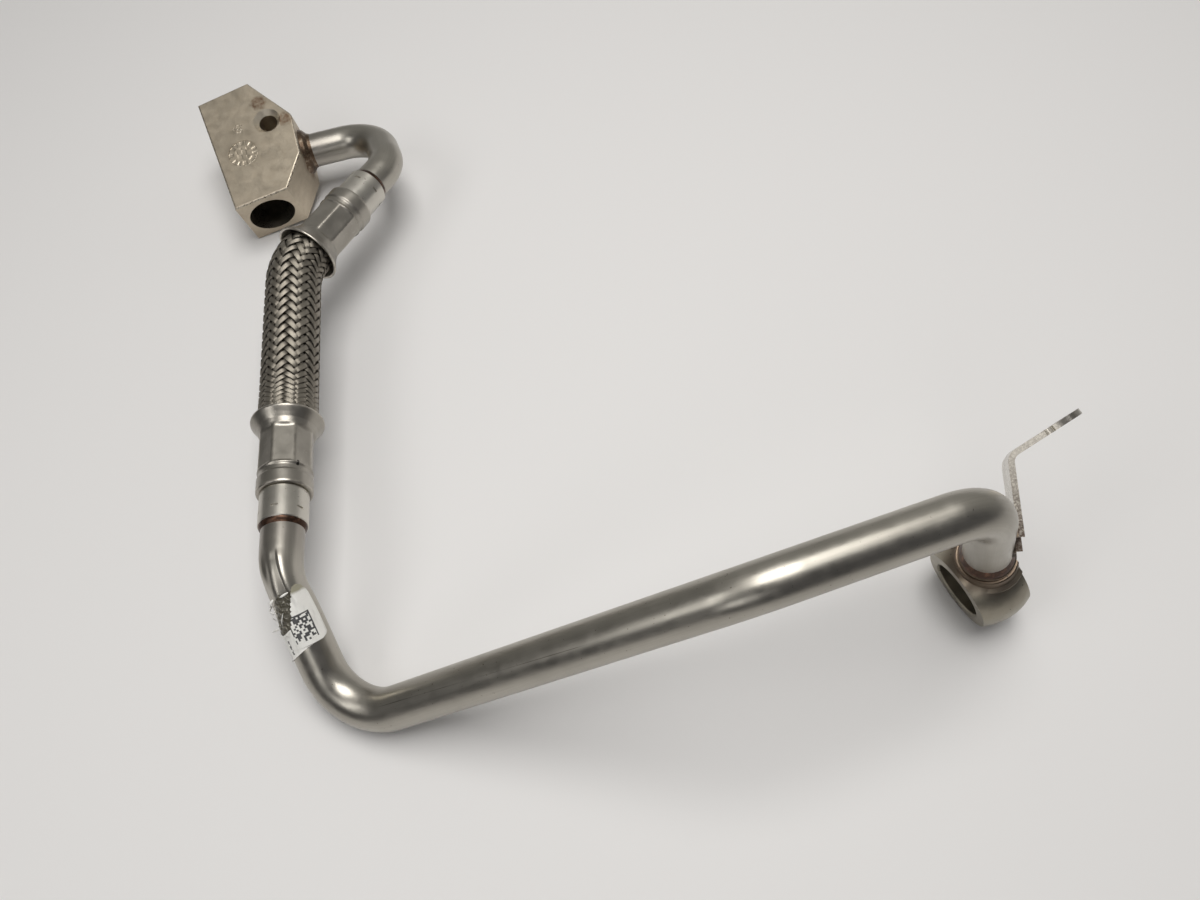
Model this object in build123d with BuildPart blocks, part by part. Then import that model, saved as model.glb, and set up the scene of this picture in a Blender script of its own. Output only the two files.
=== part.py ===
from build123d import *
import math
import os

# Turbo oil return pipe, lying as it comes to rest on a table.
# Millimetres; X runs along the long leg of the pipe, Z is up, the table is Z = 0.

os.makedirs("parts", exist_ok=True)

# Tube stock
PIPE_R = 8.0
PIPE_WALL = 1.5
PIPE_BORE_R = PIPE_R - PIPE_WALL

# Main runs between the corners of the centre line, taken along X or Y
LEG_RUN = 145.4
LEG_RISE = 82.2
HIGH_RUN = 77.1
SLANT_RUN = 46.8
STUB_RUN = 19.9
HOSE_SPAN = 84.0
HOOK_SPAN = 54.3
HOOK_RETURN = 33.6
HOOK_REACH = 35.4
NECK_DROP = 39.0

# Centre line of the long pipe, out from the low bend: kink and collar end, knee, high bend and banjo end
PIPE_LOW = Vector(-98.4, -155.4, 0.5)
PIPE_KINK = PIPE_LOW + Vector(-13.7, SLANT_RUN, 36.5)
PIPE_START = PIPE_KINK + Vector(-0.7, STUB_RUN, -1.6)
PIPE_KNEE = PIPE_LOW + Vector(LEG_RUN, 0, LEG_RISE)
PIPE_HIGH = PIPE_KNEE + Vector(HIGH_RUN, 16.5, -2.9)
PIPE_END = PIPE_HIGH + Vector(10.3, -0.3, -NECK_DROP)
KINK_R = 20.0
LOW_R = 21.6
KNEE_R = 45.0
HIGH_R = 19.8

# Dents in the kinked stretch: run past the collar end, degrees from the top, ball radius, depth
DENTS = ((17.5, 32.0, 13.0, 1.2), (20.5, -86.0, 13.0, 1.2), (24.0, 74.0, 12.0, 1.4))

# Crimped hose ends, lengths counted from the open lip toward the pipe
LIP_TO_JOINT = 34.4
COLLAR_LEN = 13.9
FITTING_LEN = LIP_TO_JOINT + COLLAR_LEN
LOWER_TWIST = 8.0
UPPER_TWIST = 20.0
COLLAR_R = 9.2
SOCKET_DEPTH = 8.0
FIT_GAP = 0.1
STEM_R = 6.9
STEM_BORE_R = 5.5
STEM_START = 8.0
STAKE_COUNT = 6
STAKE_FROM_END = 4.6
LIP_R = 14.3
FERRULE_R = 10.6
CRIMP_BORE_R = 9.4
FLARE_LEN = 8.0
CRIMP_END = 25.0
GROOVE_END = 28.0
CRIMP_ACROSS = 19.9
CRIMP_SIDES = 8

# Braided hose: a thin sleeve under floats of flat wire, in columns round it and rows along it
BRAID_R = 10.7
BRAID_IN_R = 8.6
LINER_R = 8.5
LINER_BORE_R = 7.0
HOSE_LOWER_STRAIGHT = 14.0
HOSE_UPPER_STRAIGHT = 9.5
HOSE_LOWER_R = 70.0
HOSE_UPPER_R = 30.0
BRAID_MOUTH = 1.0
BRAID_COLUMNS = 12
BRAID_ROWS = 20
FLOAT_LEN = 5.0
FLOAT_WIDTH = 2.7
FLOAT_THICK = 1.6
FLOAT_TOP_LOW_R = 11.9
FLOAT_TOP_HIGH_R = 11.3
FLOAT_SLOPE = 37.0
FLOAT_FIRST = 7.0

# Terminal block, plan measured from the corner beside the port
BLOCK_ACROSS = Vector(0.9627, 0.2588, 0.0795)
BLOCK_UP = Vector(-0.0197, -0.2266, 0.9738)
BLOCK_W = 26.6
BLOCK_L = 64.4
BLOCK_T = 28.1
BLOCK_FLANK = 38.6
BLOCK_FLANK_Y = 16.5
BLOCK_SHOULDER = 41.4
BLOCK_SHOULDER_Y = 39.2
BLOCK_SKEW = 1.6
BLOCK_SHOULDER_ROUND = 6.0
BLOCK_FLANK_ROUND = 2.5
BLOCK_EDGE_ROUND = 0.9
PORT_R = 10.9
PORT_DEPTH = 18.0
PORT_INNER_R = 7.5
PORT_REACH = 36.0
BOLT_R = 4.5
BOLT_SINK_R = 6.7
BOLT_X = 29.1
BOLT_Y = 40.7
BADGE_X = 12.8
BADGE_Y = 28.0
BADGE_R = 7.2
BADGE_DEPTH = 0.35
HOOK_SEAT = 8.0
HOOK_WAY = 20.0

# Banjo end
RING_AXIS = Vector(-0.911, -0.334, -0.238)
RING_CROWN_R = 17.3
RING_FACE_R = 15.1
RING_HALF = 9.5
RING_BORE_R = 10.5
RING_CHAMFER = 0.6
RING_OFFSET = 2.4
NECK_TO_RING = 23.7
SHOULDER_R = 12.1
SHOULDER_TOP = 5.6
RIDGE_R = 9.4
RIDGE_TOP = 3.6
RIDGE_GROOVE = 0.5
PIPE_SEAT = 8.5
OIL_WAY_R = 6.0

# Bracket of folded strip on the banjo end of the pipe
STRIP_T = 2.0
STRIP_W = 18.4
STRIP_UP = 19.2
STRIP_TURN = 3.1
STRIP_SEAT_GAP = 0.1
STRIP_LEAN = Vector(0.054, 0.916, 0.397)
FOOT_STEP = 5.0
FOOT_STEP_AT = 10.0
UPRIGHT = 26.3
CORNER_R = 8.0
TAB_W = 12.0
TAB_LEN = 20.2
TAB_TURN = 61.7
FOLD_R = 4.0
EYE_R = 6.0
EYE_HOLE_R = 3.3
EYE_NECK = 1.5
BRAZE_HALF_W = 4.0

# Sticker on the long pipe
LABEL_T = 0.25
LABEL_FROM = 8.4
LABEL_LEN = 18.4
LABEL_RIGHT = -62.0
LABEL_LEFT = 118.0
LABEL_CORNER = 2.5
TEAR_R = 5.0
TEAR_RUN = 4.0
TEAR_TURN = 48.0


def unit(v):
    return v.normalized()


def turned_out(along, degrees):
    # the direction square to a run, at so many degrees round it from the top
    up = unit(Vector(0, 0, 1) - along * along.Z)
    return up * math.cos(math.radians(degrees)) + along.cross(up) * math.sin(math.radians(degrees))


lower_axis = unit(PIPE_START - PIPE_KINK)
kink_axis = unit(PIPE_LOW - PIPE_KINK)
lower_lip = PIPE_START + lower_axis * FITTING_LEN
upper_lip = lower_lip + Vector(7.2, HOSE_SPAN, 6.1)

# Centre line of the short hook pipe, out from the upper collar: two bends, then the block face
HOOK_NEAR = upper_lip + Vector(35.5, HOOK_SPAN, -5.1)
HOOK_FAR = HOOK_NEAR + Vector(-7.9, HOOK_RETURN, -9.7)
HOOK_START = HOOK_FAR + Vector(-HOOK_REACH, -5.3, 0)
HOOK_FAR_R = 19.4
HOOK_NEAR_R = 18.9
BLOCK_CORNER = HOOK_START + Vector(-32.1, -37.6, 4.4)

upper_axis = unit(HOOK_NEAR - upper_lip)
upper_end = upper_lip + upper_axis * FITTING_LEN
neck_axis = unit(PIPE_END - PIPE_HIGH)
hook_axis = unit(HOOK_FAR - HOOK_START)

# Frames: Z of each points from the lip toward the pipe, out of the block, down the neck
lower_frame = Plane(origin=lower_lip, x_dir=(0, 0, 1), z_dir=lower_axis * -1)
upper_frame = Plane(origin=upper_lip, x_dir=(0, 0, 1), z_dir=upper_axis)
block_frame = Plane(origin=BLOCK_CORNER, x_dir=BLOCK_ACROSS, z_dir=BLOCK_UP)
neck_frame = Plane(origin=PIPE_END, x_dir=RING_AXIS, z_dir=neck_axis)
ring_centre = PIPE_END + neck_axis * NECK_TO_RING + neck_frame.x_dir * RING_OFFSET
ring_frame = Plane(origin=ring_centre, x_dir=neck_axis, z_dir=neck_frame.x_dir)
hook_frame = Plane(origin=HOOK_START, x_dir=BLOCK_UP, z_dir=hook_axis)

# Long pipe: one tube with four bends
with BuildPart() as main_pipe:
    with BuildLine() as pipe_line:
        FilletPolyline(
            PIPE_START + lower_axis * SOCKET_DEPTH,
            PIPE_KINK,
            PIPE_LOW,
            PIPE_KNEE,
            PIPE_HIGH,
            PIPE_END + neck_axis * PIPE_SEAT,
            radius=(KINK_R, LOW_R, KNEE_R, HIGH_R),
        )
    with BuildSketch(Plane(origin=pipe_line.line @ 0, z_dir=pipe_line.line % 0)):
        Circle(PIPE_R)
        Circle(PIPE_BORE_R, mode=Mode.SUBTRACT)
    sweep(path=pipe_line.line)
    # Dents pressed into the kinked stretch
    for run, turn, ball_r, depth in DENTS:
        share = (SOCKET_DEPTH + run) / pipe_line.wire().length
        out = turned_out(pipe_line.line % share, turn)
        with Locations(pipe_line.line @ share + out * (PIPE_R + ball_r - depth)):
            Sphere(ball_r, mode=Mode.SUBTRACT)
main_pipe.part.label = "main_pipe"

# Hook pipe: the same tube, two bends, seated in the block and in the upper collar
with BuildPart() as hook_pipe:
    with BuildLine() as hook_line:
        FilletPolyline(
            HOOK_START - hook_axis * HOOK_SEAT,
            HOOK_FAR,
            HOOK_NEAR,
            upper_end - upper_axis * SOCKET_DEPTH,
            radius=(HOOK_FAR_R, HOOK_NEAR_R),
        )
    with BuildSketch(Plane(origin=hook_line.line @ 0, z_dir=hook_line.line % 0)):
        Circle(PIPE_R)
        Circle(PIPE_BORE_R, mode=Mode.SUBTRACT)
    sweep(path=hook_line.line)
hook_pipe.part.label = "hook_pipe"

# Terminal block: cast six-sided prism with the port, the bolt hole and the pipe socket
with BuildPart() as terminal_block:
    with BuildSketch(block_frame):
        with BuildLine():
            Polyline(
                (0, 0),
                (BLOCK_W, 0),
                (BLOCK_FLANK, BLOCK_FLANK_Y),
                (BLOCK_SHOULDER, BLOCK_SHOULDER_Y),
                (BLOCK_W, BLOCK_L + BLOCK_SKEW),
                (0, BLOCK_L),
                close=True,
            )
        make_face()
    extrude(amount=-BLOCK_T)
    uprights = terminal_block.edges().filter_by(Axis(BLOCK_CORNER, BLOCK_UP))
    corner = block_frame.from_local_coords(Vector(BLOCK_SHOULDER, BLOCK_SHOULDER_Y, -BLOCK_T / 2))
    flank = block_frame.from_local_coords(Vector(BLOCK_FLANK, BLOCK_FLANK_Y, -BLOCK_T / 2))
    fillet(uprights.sort_by(lambda e: (e.center() - corner).length)[0], BLOCK_SHOULDER_ROUND)
    uprights = terminal_block.edges().filter_by(Axis(BLOCK_CORNER, BLOCK_UP))
    fillet(uprights.sort_by(lambda e: (e.center() - flank).length)[0], BLOCK_FLANK_ROUND)
    top = terminal_block.faces().filter_by(Plane(BLOCK_CORNER, z_dir=BLOCK_UP)).sort_by(
        lambda f: (f.center() - BLOCK_CORNER).dot(BLOCK_UP)
    )
    fillet(top[-1].edges() + top[0].edges(), BLOCK_EDGE_ROUND)
    # Plain round recess where the casting carries a mark
    with Locations(block_frame.location * Location((BADGE_X, BADGE_Y, 0))):
        Cylinder(BADGE_R, 2 * BADGE_DEPTH, mode=Mode.SUBTRACT)
    # Bolt hole with its countersink
    with Locations(block_frame.location * Location((BOLT_X, BOLT_Y, 0))):
        CounterSinkHole(radius=BOLT_R, counter_sink_radius=BOLT_SINK_R, depth=BLOCK_T + 1, counter_sink_angle=90)
    # Port in the end face, stepped down to the oil way
    port_plane = Plane(
        origin=block_frame.from_local_coords(Vector(BLOCK_W / 2, 0, -BLOCK_T / 2)),
        x_dir=BLOCK_ACROSS,
        z_dir=block_frame.y_dir * -1,
    )
    with Locations(port_plane.location):
        Hole(PORT_R, PORT_DEPTH)
        Hole(PORT_INNER_R, PORT_REACH)
    # Socket and oil way of the hook pipe
    with Locations(Plane(origin=HOOK_START + hook_axis * 3, z_dir=hook_axis).location):
        Hole(PIPE_R + FIT_GAP, HOOK_SEAT + 3)
        Hole(PIPE_BORE_R, HOOK_SEAT + HOOK_WAY)
terminal_block.part.label = "terminal_block"

# Copper braze running up round the hook pipe from the block face
with BuildPart() as block_braze:
    with BuildSketch(Plane(origin=hook_frame.origin, x_dir=hook_frame.x_dir, z_dir=hook_frame.y_dir * -1)):
        with BuildLine():
            Polyline((PIPE_R, -1.5), (PIPE_R + 3.2, -1.5), (PIPE_R + 2.4, 0.6), (PIPE_R + 0.5, 2.2), (PIPE_R, 3.6), close=True)
        make_face()
    revolve(axis=Axis(HOOK_START, hook_axis))
    add(terminal_block.part, mode=Mode.SUBTRACT)
block_braze.part.label = "block_braze"


def fitting_profile(frame):
    # the plane whose X is the radius and whose Y runs from the lip toward the pipe
    return Plane(origin=frame.origin, x_dir=frame.x_dir, z_dir=frame.x_dir.cross(frame.z_dir))


def ferrule(frame, name, twist):
    with BuildPart() as shell:
        with BuildSketch(fitting_profile(frame)):
            with BuildLine():
                Polyline(
                    (LIP_R - 0.9, 0.2),
                    (LIP_R - 0.5, 0),
                    (LIP_R - 0.1, 0.1),
                    (LIP_R, 0.6),
                    (LIP_R - 0.5, 1.6),
                    (FERRULE_R + 0.4, FLARE_LEN - 1.2),
                    (FERRULE_R, FLARE_LEN),
                    (FERRULE_R, CRIMP_END),
                    (FERRULE_R - 0.6, CRIMP_END + 1.0),
                    (FERRULE_R - 0.6, GROOVE_END),
                    (FERRULE_R, GROOVE_END + 0.5),
                    (FERRULE_R, LIP_TO_JOINT - 0.6),
                    (FERRULE_R - 0.6, LIP_TO_JOINT),
                    (STEM_R + FIT_GAP, LIP_TO_JOINT),
                    (STEM_R + FIT_GAP, LIP_TO_JOINT - 2.2),
                    (CRIMP_BORE_R, LIP_TO_JOINT - 2.2),
                    (CRIMP_BORE_R, FLARE_LEN - 1.2),
                    (LIP_R - 1.6, 1.6),
                    close=True,
                )
            make_face()
        revolve(axis=Axis(frame.origin, frame.z_dir))
        # Flats left by the crimping jaws
        with BuildSketch(frame.offset(FLARE_LEN - 0.8)):
            Circle(LIP_R + 2)
            RegularPolygon(
                radius=CRIMP_ACROSS / 2,
                side_count=CRIMP_SIDES,
                major_radius=False,
                rotation=twist,
                mode=Mode.SUBTRACT,
            )
        extrude(amount=CRIMP_END - FLARE_LEN + 0.8, mode=Mode.SUBTRACT)
    shell.part.label = name
    return shell


def hose_tail(frame, name):
    with BuildPart() as tail:
        with BuildSketch(fitting_profile(frame)):
            with BuildLine():
                Polyline(
                    (STEM_BORE_R, STEM_START),
                    (STEM_R, STEM_START),
                    (STEM_R, LIP_TO_JOINT),
                    (COLLAR_R - 0.4, LIP_TO_JOINT),
                    (COLLAR_R, LIP_TO_JOINT + 0.4),
                    (COLLAR_R, FITTING_LEN - 0.3),
                    (COLLAR_R - 0.3, FITTING_LEN),
                    (PIPE_R + FIT_GAP, FITTING_LEN),
                    (PIPE_R + FIT_GAP, FITTING_LEN - SOCKET_DEPTH),
                    (STEM_BORE_R, FITTING_LEN - SOCKET_DEPTH),
                    close=True,
                )
            make_face()
        revolve(axis=Axis(frame.origin, frame.z_dir))
        # Stake marks round the collar
        with Locations(frame.offset(FITTING_LEN - STAKE_FROM_END).location):
            with PolarLocations(COLLAR_R + 0.2, STAKE_COUNT):
                Box(1.4, 2.6, 1.0, mode=Mode.SUBTRACT)
    tail.part.label = name
    return tail


def tail_braze(frame, name):
    with BuildPart() as ring:
        with BuildSketch(fitting_profile(frame)):
            with BuildLine():
                Polyline(
                    (PIPE_R, FITTING_LEN),
                    (COLLAR_R - 0.3, FITTING_LEN),
                    (COLLAR_R - 0.5, FITTING_LEN + 0.8),
                    (PIPE_R + 0.3, FITTING_LEN + 1.5),
                    (PIPE_R, FITTING_LEN + 2.1),
                    close=True,
                )
            make_face()
        revolve(axis=Axis(frame.origin, frame.z_dir))
    ring.part.label = name
    return ring


lower_ferrule = ferrule(lower_frame, "lower_ferrule", LOWER_TWIST)
upper_ferrule = ferrule(upper_frame, "upper_ferrule", UPPER_TWIST)
lower_tail = hose_tail(lower_frame, "lower_tail")
upper_tail = hose_tail(upper_frame, "upper_tail")
lower_tail_braze = tail_braze(lower_frame, "lower_tail_braze")
upper_tail_braze = tail_braze(upper_frame, "upper_tail_braze")

# Inner hose, running from stem to stem
CRIMP_TAKE = LIP_TO_JOINT - 3.0
with BuildLine() as liner_line:
    FilletPolyline(
        lower_lip - lower_axis * CRIMP_TAKE,
        lower_lip + lower_axis * HOSE_LOWER_STRAIGHT,
        upper_lip - upper_axis * HOSE_UPPER_STRAIGHT,
        upper_lip + upper_axis * CRIMP_TAKE,
        radius=(HOSE_LOWER_R, HOSE_UPPER_R),
    )
with BuildPart() as hose_liner:
    with BuildSketch(Plane(origin=liner_line.line @ 0, z_dir=liner_line.line % 0)):
        Circle(LINER_R)
        Circle(LINER_BORE_R, mode=Mode.SUBTRACT)
    sweep(path=liner_line.line)
hose_liner.part.label = "hose_liner"

# Braid: a sleeve that closes down inside each ferrule, with the flat wire floats laid on it
with BuildLine() as braid_line:
    FilletPolyline(
        lower_lip - lower_axis * BRAID_MOUTH,
        lower_lip + lower_axis * HOSE_LOWER_STRAIGHT,
        upper_lip - upper_axis * HOSE_UPPER_STRAIGHT,
        upper_lip + upper_axis * BRAID_MOUTH,
        radius=(HOSE_LOWER_R, HOSE_UPPER_R),
    )
with BuildPart() as hose_braid:
    with BuildSketch(Plane(origin=braid_line.line @ 0, z_dir=braid_line.line % 0)):
        Circle(BRAID_R)
        Circle(BRAID_IN_R, mode=Mode.SUBTRACT)
    sweep(path=braid_line.line)
    for frame in (lower_frame, upper_frame):
        with BuildSketch(fitting_profile(frame)):
            with BuildLine():
                Polyline(
                    (BRAID_IN_R, BRAID_MOUTH),
                    (BRAID_R, BRAID_MOUTH),
                    (CRIMP_BORE_R - FIT_GAP, FLARE_LEN - 1.6),
                    (CRIMP_BORE_R - FIT_GAP, CRIMP_TAKE),
                    (BRAID_IN_R, CRIMP_TAKE),
                    close=True,
                )
            make_face()
        revolve(axis=Axis(frame.origin, frame.z_dir))
    # Floats lean one way and the other in turn round the hose; each row is laid as one ring
    for row in range(BRAID_ROWS):
        share = (row + 0.5) / BRAID_ROWS
        spot = braid_line.line @ share
        along = braid_line.line % share
        top_r = FLOAT_TOP_LOW_R + (FLOAT_TOP_HIGH_R - FLOAT_TOP_LOW_R) * share
        floats = []
        for column in range(BRAID_COLUMNS):
            out = turned_out(along, FLOAT_FIRST + column * 360 / BRAID_COLUMNS)
            slope = math.radians(FLOAT_SLOPE if column % 2 else -FLOAT_SLOPE)
            lie = along.cross(out) * math.cos(slope) + along * math.sin(slope)
            floats.append(Plane(origin=spot + out * (top_r - FLOAT_THICK / 2), x_dir=lie, z_dir=out).location)
        with Locations(*floats):
            Box(FLOAT_LEN, FLOAT_WIDTH, FLOAT_THICK)
hose_braid.part.label = "hose_braid"

# Banjo end: a barrel-shaped eye between two flat faces, a shouldered neck with a turned ridge
with BuildPart() as banjo_fitting:
    with BuildSketch(Plane(origin=ring_centre, x_dir=neck_axis, z_dir=neck_axis.cross(ring_frame.z_dir))):
        with BuildLine():
            ThreePointArc((RING_FACE_R, -RING_HALF), (RING_CROWN_R, 0), (RING_FACE_R, RING_HALF))
            Line((RING_FACE_R, RING_HALF), (0, RING_HALF))
            Line((0, RING_HALF), (0, -RING_HALF))
            Line((0, -RING_HALF), (RING_FACE_R, -RING_HALF))
        make_face()
    revolve(axis=Axis(ring_centre, ring_frame.z_dir))
    neck_profile = Plane(origin=PIPE_END, x_dir=neck_axis, z_dir=neck_axis.cross(ring_frame.z_dir))
    with BuildSketch(neck_profile):
        with BuildLine():
            Polyline(
                (SHOULDER_TOP, 0),
                (SHOULDER_TOP, RIDGE_R + 0.5),
                (SHOULDER_TOP + 0.4, RIDGE_R + 0.9),
                (SHOULDER_TOP + 3.6, RIDGE_R + 1.3),
                (SHOULDER_TOP + 4.4, SHOULDER_R),
                (SHOULDER_TOP + 5.5, SHOULDER_R),
                (NECK_TO_RING - RING_BORE_R + 4, RING_BORE_R - 2.5),
                (NECK_TO_RING - RING_BORE_R + 4, 0),
                close=True,
            )
        make_face()
    revolve(axis=Axis(PIPE_END, neck_axis))
    # The flats of the eye run on past the shoulder
    with Locations(ring_frame.location):
        Box(6 * RING_CROWN_R, 6 * RING_CROWN_R, 2 * RING_HALF, mode=Mode.INTERSECT)
    with BuildSketch(neck_profile):
        with BuildLine():
            Polyline(
                (RIDGE_TOP, 0),
                (RIDGE_TOP, RIDGE_R - 0.3),
                (RIDGE_TOP + 0.3, RIDGE_R),
                (RIDGE_TOP + 1.1, RIDGE_R),
                (RIDGE_TOP + 1.3, RIDGE_R - RIDGE_GROOVE),
                (SHOULDER_TOP + 0.2, RIDGE_R - RIDGE_GROOVE),
                (SHOULDER_TOP + 0.2, 0),
                close=True,
            )
        make_face()
    revolve(axis=Axis(PIPE_END, neck_axis))
    with Locations(ring_frame.offset(RING_HALF).location):
        Hole(RING_BORE_R, 2 * RING_HALF)
    rims = banjo_fitting.edges().filter_by(GeomType.CIRCLE).filter_by(
        lambda e: abs(e.radius - RING_BORE_R) < 0.01 and abs(e.length - 2 * math.pi * RING_BORE_R) < 0.1
    )
    chamfer(rims, RING_CHAMFER)
    with Locations(Plane(origin=PIPE_END + neck_axis * RIDGE_TOP, z_dir=neck_axis * -1).location):
        Hole(PIPE_R + FIT_GAP, PIPE_SEAT - RIDGE_TOP)
        Hole(OIL_WAY_R, NECK_TO_RING - RIDGE_TOP)
banjo_fitting.part.label = "banjo_fitting"

# Copper braze between the pipe and the banjo neck
with BuildPart() as banjo_braze:
    with BuildSketch(neck_profile):
        with BuildLine():
            Polyline(
                (RIDGE_TOP, PIPE_R),
                (RIDGE_TOP, RIDGE_R - 0.3),
                (RIDGE_TOP - 0.9, PIPE_R + 0.9),
                (RIDGE_TOP - 2.4, PIPE_R + 0.35),
                (RIDGE_TOP - 3.4, PIPE_R),
                close=True,
            )
        make_face()
    revolve(axis=Axis(PIPE_END, neck_axis))
banjo_braze.part.label = "banjo_braze"

# Folded strip bracket: stepped foot against the pipe, rounded upright, tab with an eye
out_dir = unit(STRIP_LEAN.cross(neck_axis))
out_dir = out_dir if out_dir.X > 0 else out_dir * -1
strip_origin = PIPE_END - neck_axis * STRIP_UP + out_dir * (PIPE_R + STRIP_SEAT_GAP + STRIP_T)
strip_origin = strip_origin - STRIP_LEAN * STRIP_TURN
strip_across = unit(STRIP_LEAN.cross(out_dir))
strip_plane = Plane(origin=strip_origin, x_dir=STRIP_LEAN, z_dir=strip_across)
turn = math.radians(TAB_TURN)
tab_run = TAB_LEN + EYE_R
with BuildPart() as pipe_bracket:
    with BuildSketch(strip_plane):
        with BuildLine():
            FilletPolyline(
                (-FOOT_STEP, -STRIP_T / 2),
                (UPRIGHT, -STRIP_T / 2),
                (UPRIGHT + tab_run * math.cos(turn), -STRIP_T / 2 + tab_run * math.sin(turn)),
                radius=FOLD_R,
            )
        trace(line_width=STRIP_T)
    extrude(amount=STRIP_W)
    # Step in the foot
    with Locations(strip_plane.location * Location((-FOOT_STEP, 0, 0))):
        Box(2 * FOOT_STEP, 6 * STRIP_T, 2 * FOOT_STEP_AT, mode=Mode.SUBTRACT)
    # Rounded corner where the upright narrows to the tab
    plate_plane = Plane(origin=strip_origin, x_dir=strip_plane.x_dir, z_dir=strip_plane.y_dir * -1)
    corner_x = UPRIGHT - CORNER_R
    with BuildSketch(plate_plane):
        with Locations((corner_x + 2 * CORNER_R, TAB_W + 2 * CORNER_R)):
            Rectangle(4 * CORNER_R, 4 * CORNER_R)
        with Locations((corner_x, TAB_W)):
            Circle(CORNER_R, mode=Mode.SUBTRACT)
    extrude(amount=2 * tab_run, both=True, mode=Mode.SUBTRACT)
    # Round eye at the end of the tab, set off by two shallow notches
    tab_plane = Plane(
        origin=strip_plane.from_local_coords(Vector(UPRIGHT, -STRIP_T / 2, TAB_W / 2)),
        x_dir=strip_plane.x_dir * math.cos(turn) + strip_plane.y_dir * math.sin(turn),
        z_dir=strip_plane.x_dir * -math.sin(turn) + strip_plane.y_dir * math.cos(turn),
    )
    with BuildSketch(tab_plane):
        with Locations((TAB_LEN, 0)):
            Rectangle(2 * EYE_R, 4 * EYE_R, align=(Align.MIN, Align.CENTER))
            Circle(EYE_R, mode=Mode.SUBTRACT)
        with GridLocations(0, 2 * EYE_R, 1, 2):
            with Locations((TAB_LEN - EYE_R, 0)):
                Circle(EYE_NECK)
    extrude(amount=2 * STRIP_T, both=True, mode=Mode.SUBTRACT)
    with Locations(tab_plane.location * Location((TAB_LEN, 0, 0))):
        Cylinder(EYE_HOLE_R, 4 * STRIP_T, mode=Mode.SUBTRACT)
pipe_bracket.part.label = "pipe_bracket"

# Braze filling the narrow wedges between the strip and the pipe
with BuildPart() as bracket_braze:
    with BuildSketch(Plane(origin=PIPE_END - neck_axis * STRIP_UP, x_dir=out_dir, z_dir=neck_axis)):
        with Locations((PIPE_R + STRIP_SEAT_GAP, 0)):
            Rectangle(3.0, 2 * BRAZE_HALF_W, align=(Align.MAX, Align.CENTER))
        Circle(PIPE_R, mode=Mode.SUBTRACT)
    extrude(amount=STRIP_W - 2.0)
    with Locations(strip_plane.location * Location((-2 * FOOT_STEP, 0, 0))):
        Box(4 * FOOT_STEP, 10 * STRIP_T, 2 * FOOT_STEP_AT, mode=Mode.SUBTRACT)
bracket_braze.part.label = "bracket_braze"

# Sticker wrapped part of the way round the pipe, with a torn left side
label_plane = Plane(origin=PIPE_KINK + kink_axis * LABEL_FROM, x_dir=(0, 0, 1), z_dir=kink_axis)
with BuildPart() as part_label:
    with BuildSketch(label_plane):
        with BuildLine():
            CenterArc((0, 0), PIPE_R + LABEL_T / 2, LABEL_RIGHT, LABEL_LEFT - LABEL_RIGHT)
        trace(line_width=LABEL_T)
    extrude(amount=LABEL_LEN)
    # The corner that lies toward the low bend is rounded off
    corner_out = turned_out(kink_axis, LABEL_RIGHT + math.degrees(LABEL_CORNER / PIPE_R))
    corner_at = label_plane.origin + kink_axis * (LABEL_LEN - LABEL_CORNER)
    with BuildSketch(Plane(origin=corner_at, x_dir=kink_axis, z_dir=corner_out)):
        Rectangle(2 * LABEL_CORNER, 2 * LABEL_CORNER, align=(Align.MIN, Align.MIN))
        Circle(LABEL_CORNER, mode=Mode.SUBTRACT)
    extrude(amount=2 * PIPE_R, mode=Mode.SUBTRACT)
    tear_out = turned_out(kink_axis, TEAR_TURN)
    with Locations(Plane(origin=label_plane.origin + kink_axis * TEAR_RUN, z_dir=tear_out).location):
        Cylinder(TEAR_R, 2 * PIPE_R, align=(Align.CENTER, Align.CENTER, Align.MIN), mode=Mode.SUBTRACT)
part_label.part.label = "part_label"

for piece in (
    main_pipe,
    hook_pipe,
    terminal_block,
    block_braze,
    lower_ferrule,
    upper_ferrule,
    lower_tail,
    upper_tail,
    lower_tail_braze,
    upper_tail_braze,
    hose_liner,
    hose_braid,
    banjo_fitting,
    banjo_braze,
    pipe_bracket,
    bracket_braze,
    part_label,
):
    export_step(piece.part, "parts/" + piece.part.label + ".step")
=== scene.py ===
import bmesh
import bpy
import math
import numpy as np
from mathutils import Matrix, Vector


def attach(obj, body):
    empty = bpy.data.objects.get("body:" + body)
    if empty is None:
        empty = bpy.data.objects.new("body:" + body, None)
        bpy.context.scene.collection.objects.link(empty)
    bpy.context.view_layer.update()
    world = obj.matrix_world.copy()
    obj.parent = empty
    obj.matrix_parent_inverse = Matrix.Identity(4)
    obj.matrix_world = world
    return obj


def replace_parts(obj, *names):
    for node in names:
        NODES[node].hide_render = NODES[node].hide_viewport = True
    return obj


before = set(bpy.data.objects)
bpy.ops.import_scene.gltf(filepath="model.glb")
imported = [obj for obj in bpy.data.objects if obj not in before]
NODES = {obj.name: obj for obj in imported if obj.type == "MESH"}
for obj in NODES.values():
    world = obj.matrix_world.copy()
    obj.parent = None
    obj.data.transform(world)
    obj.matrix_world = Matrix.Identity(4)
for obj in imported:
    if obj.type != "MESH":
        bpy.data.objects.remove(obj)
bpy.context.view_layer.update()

# Lengths are in mm and angles in degrees, but those with MM, or under a line that says so, in metres
MM = 0.001
BODY = "root"

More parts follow.
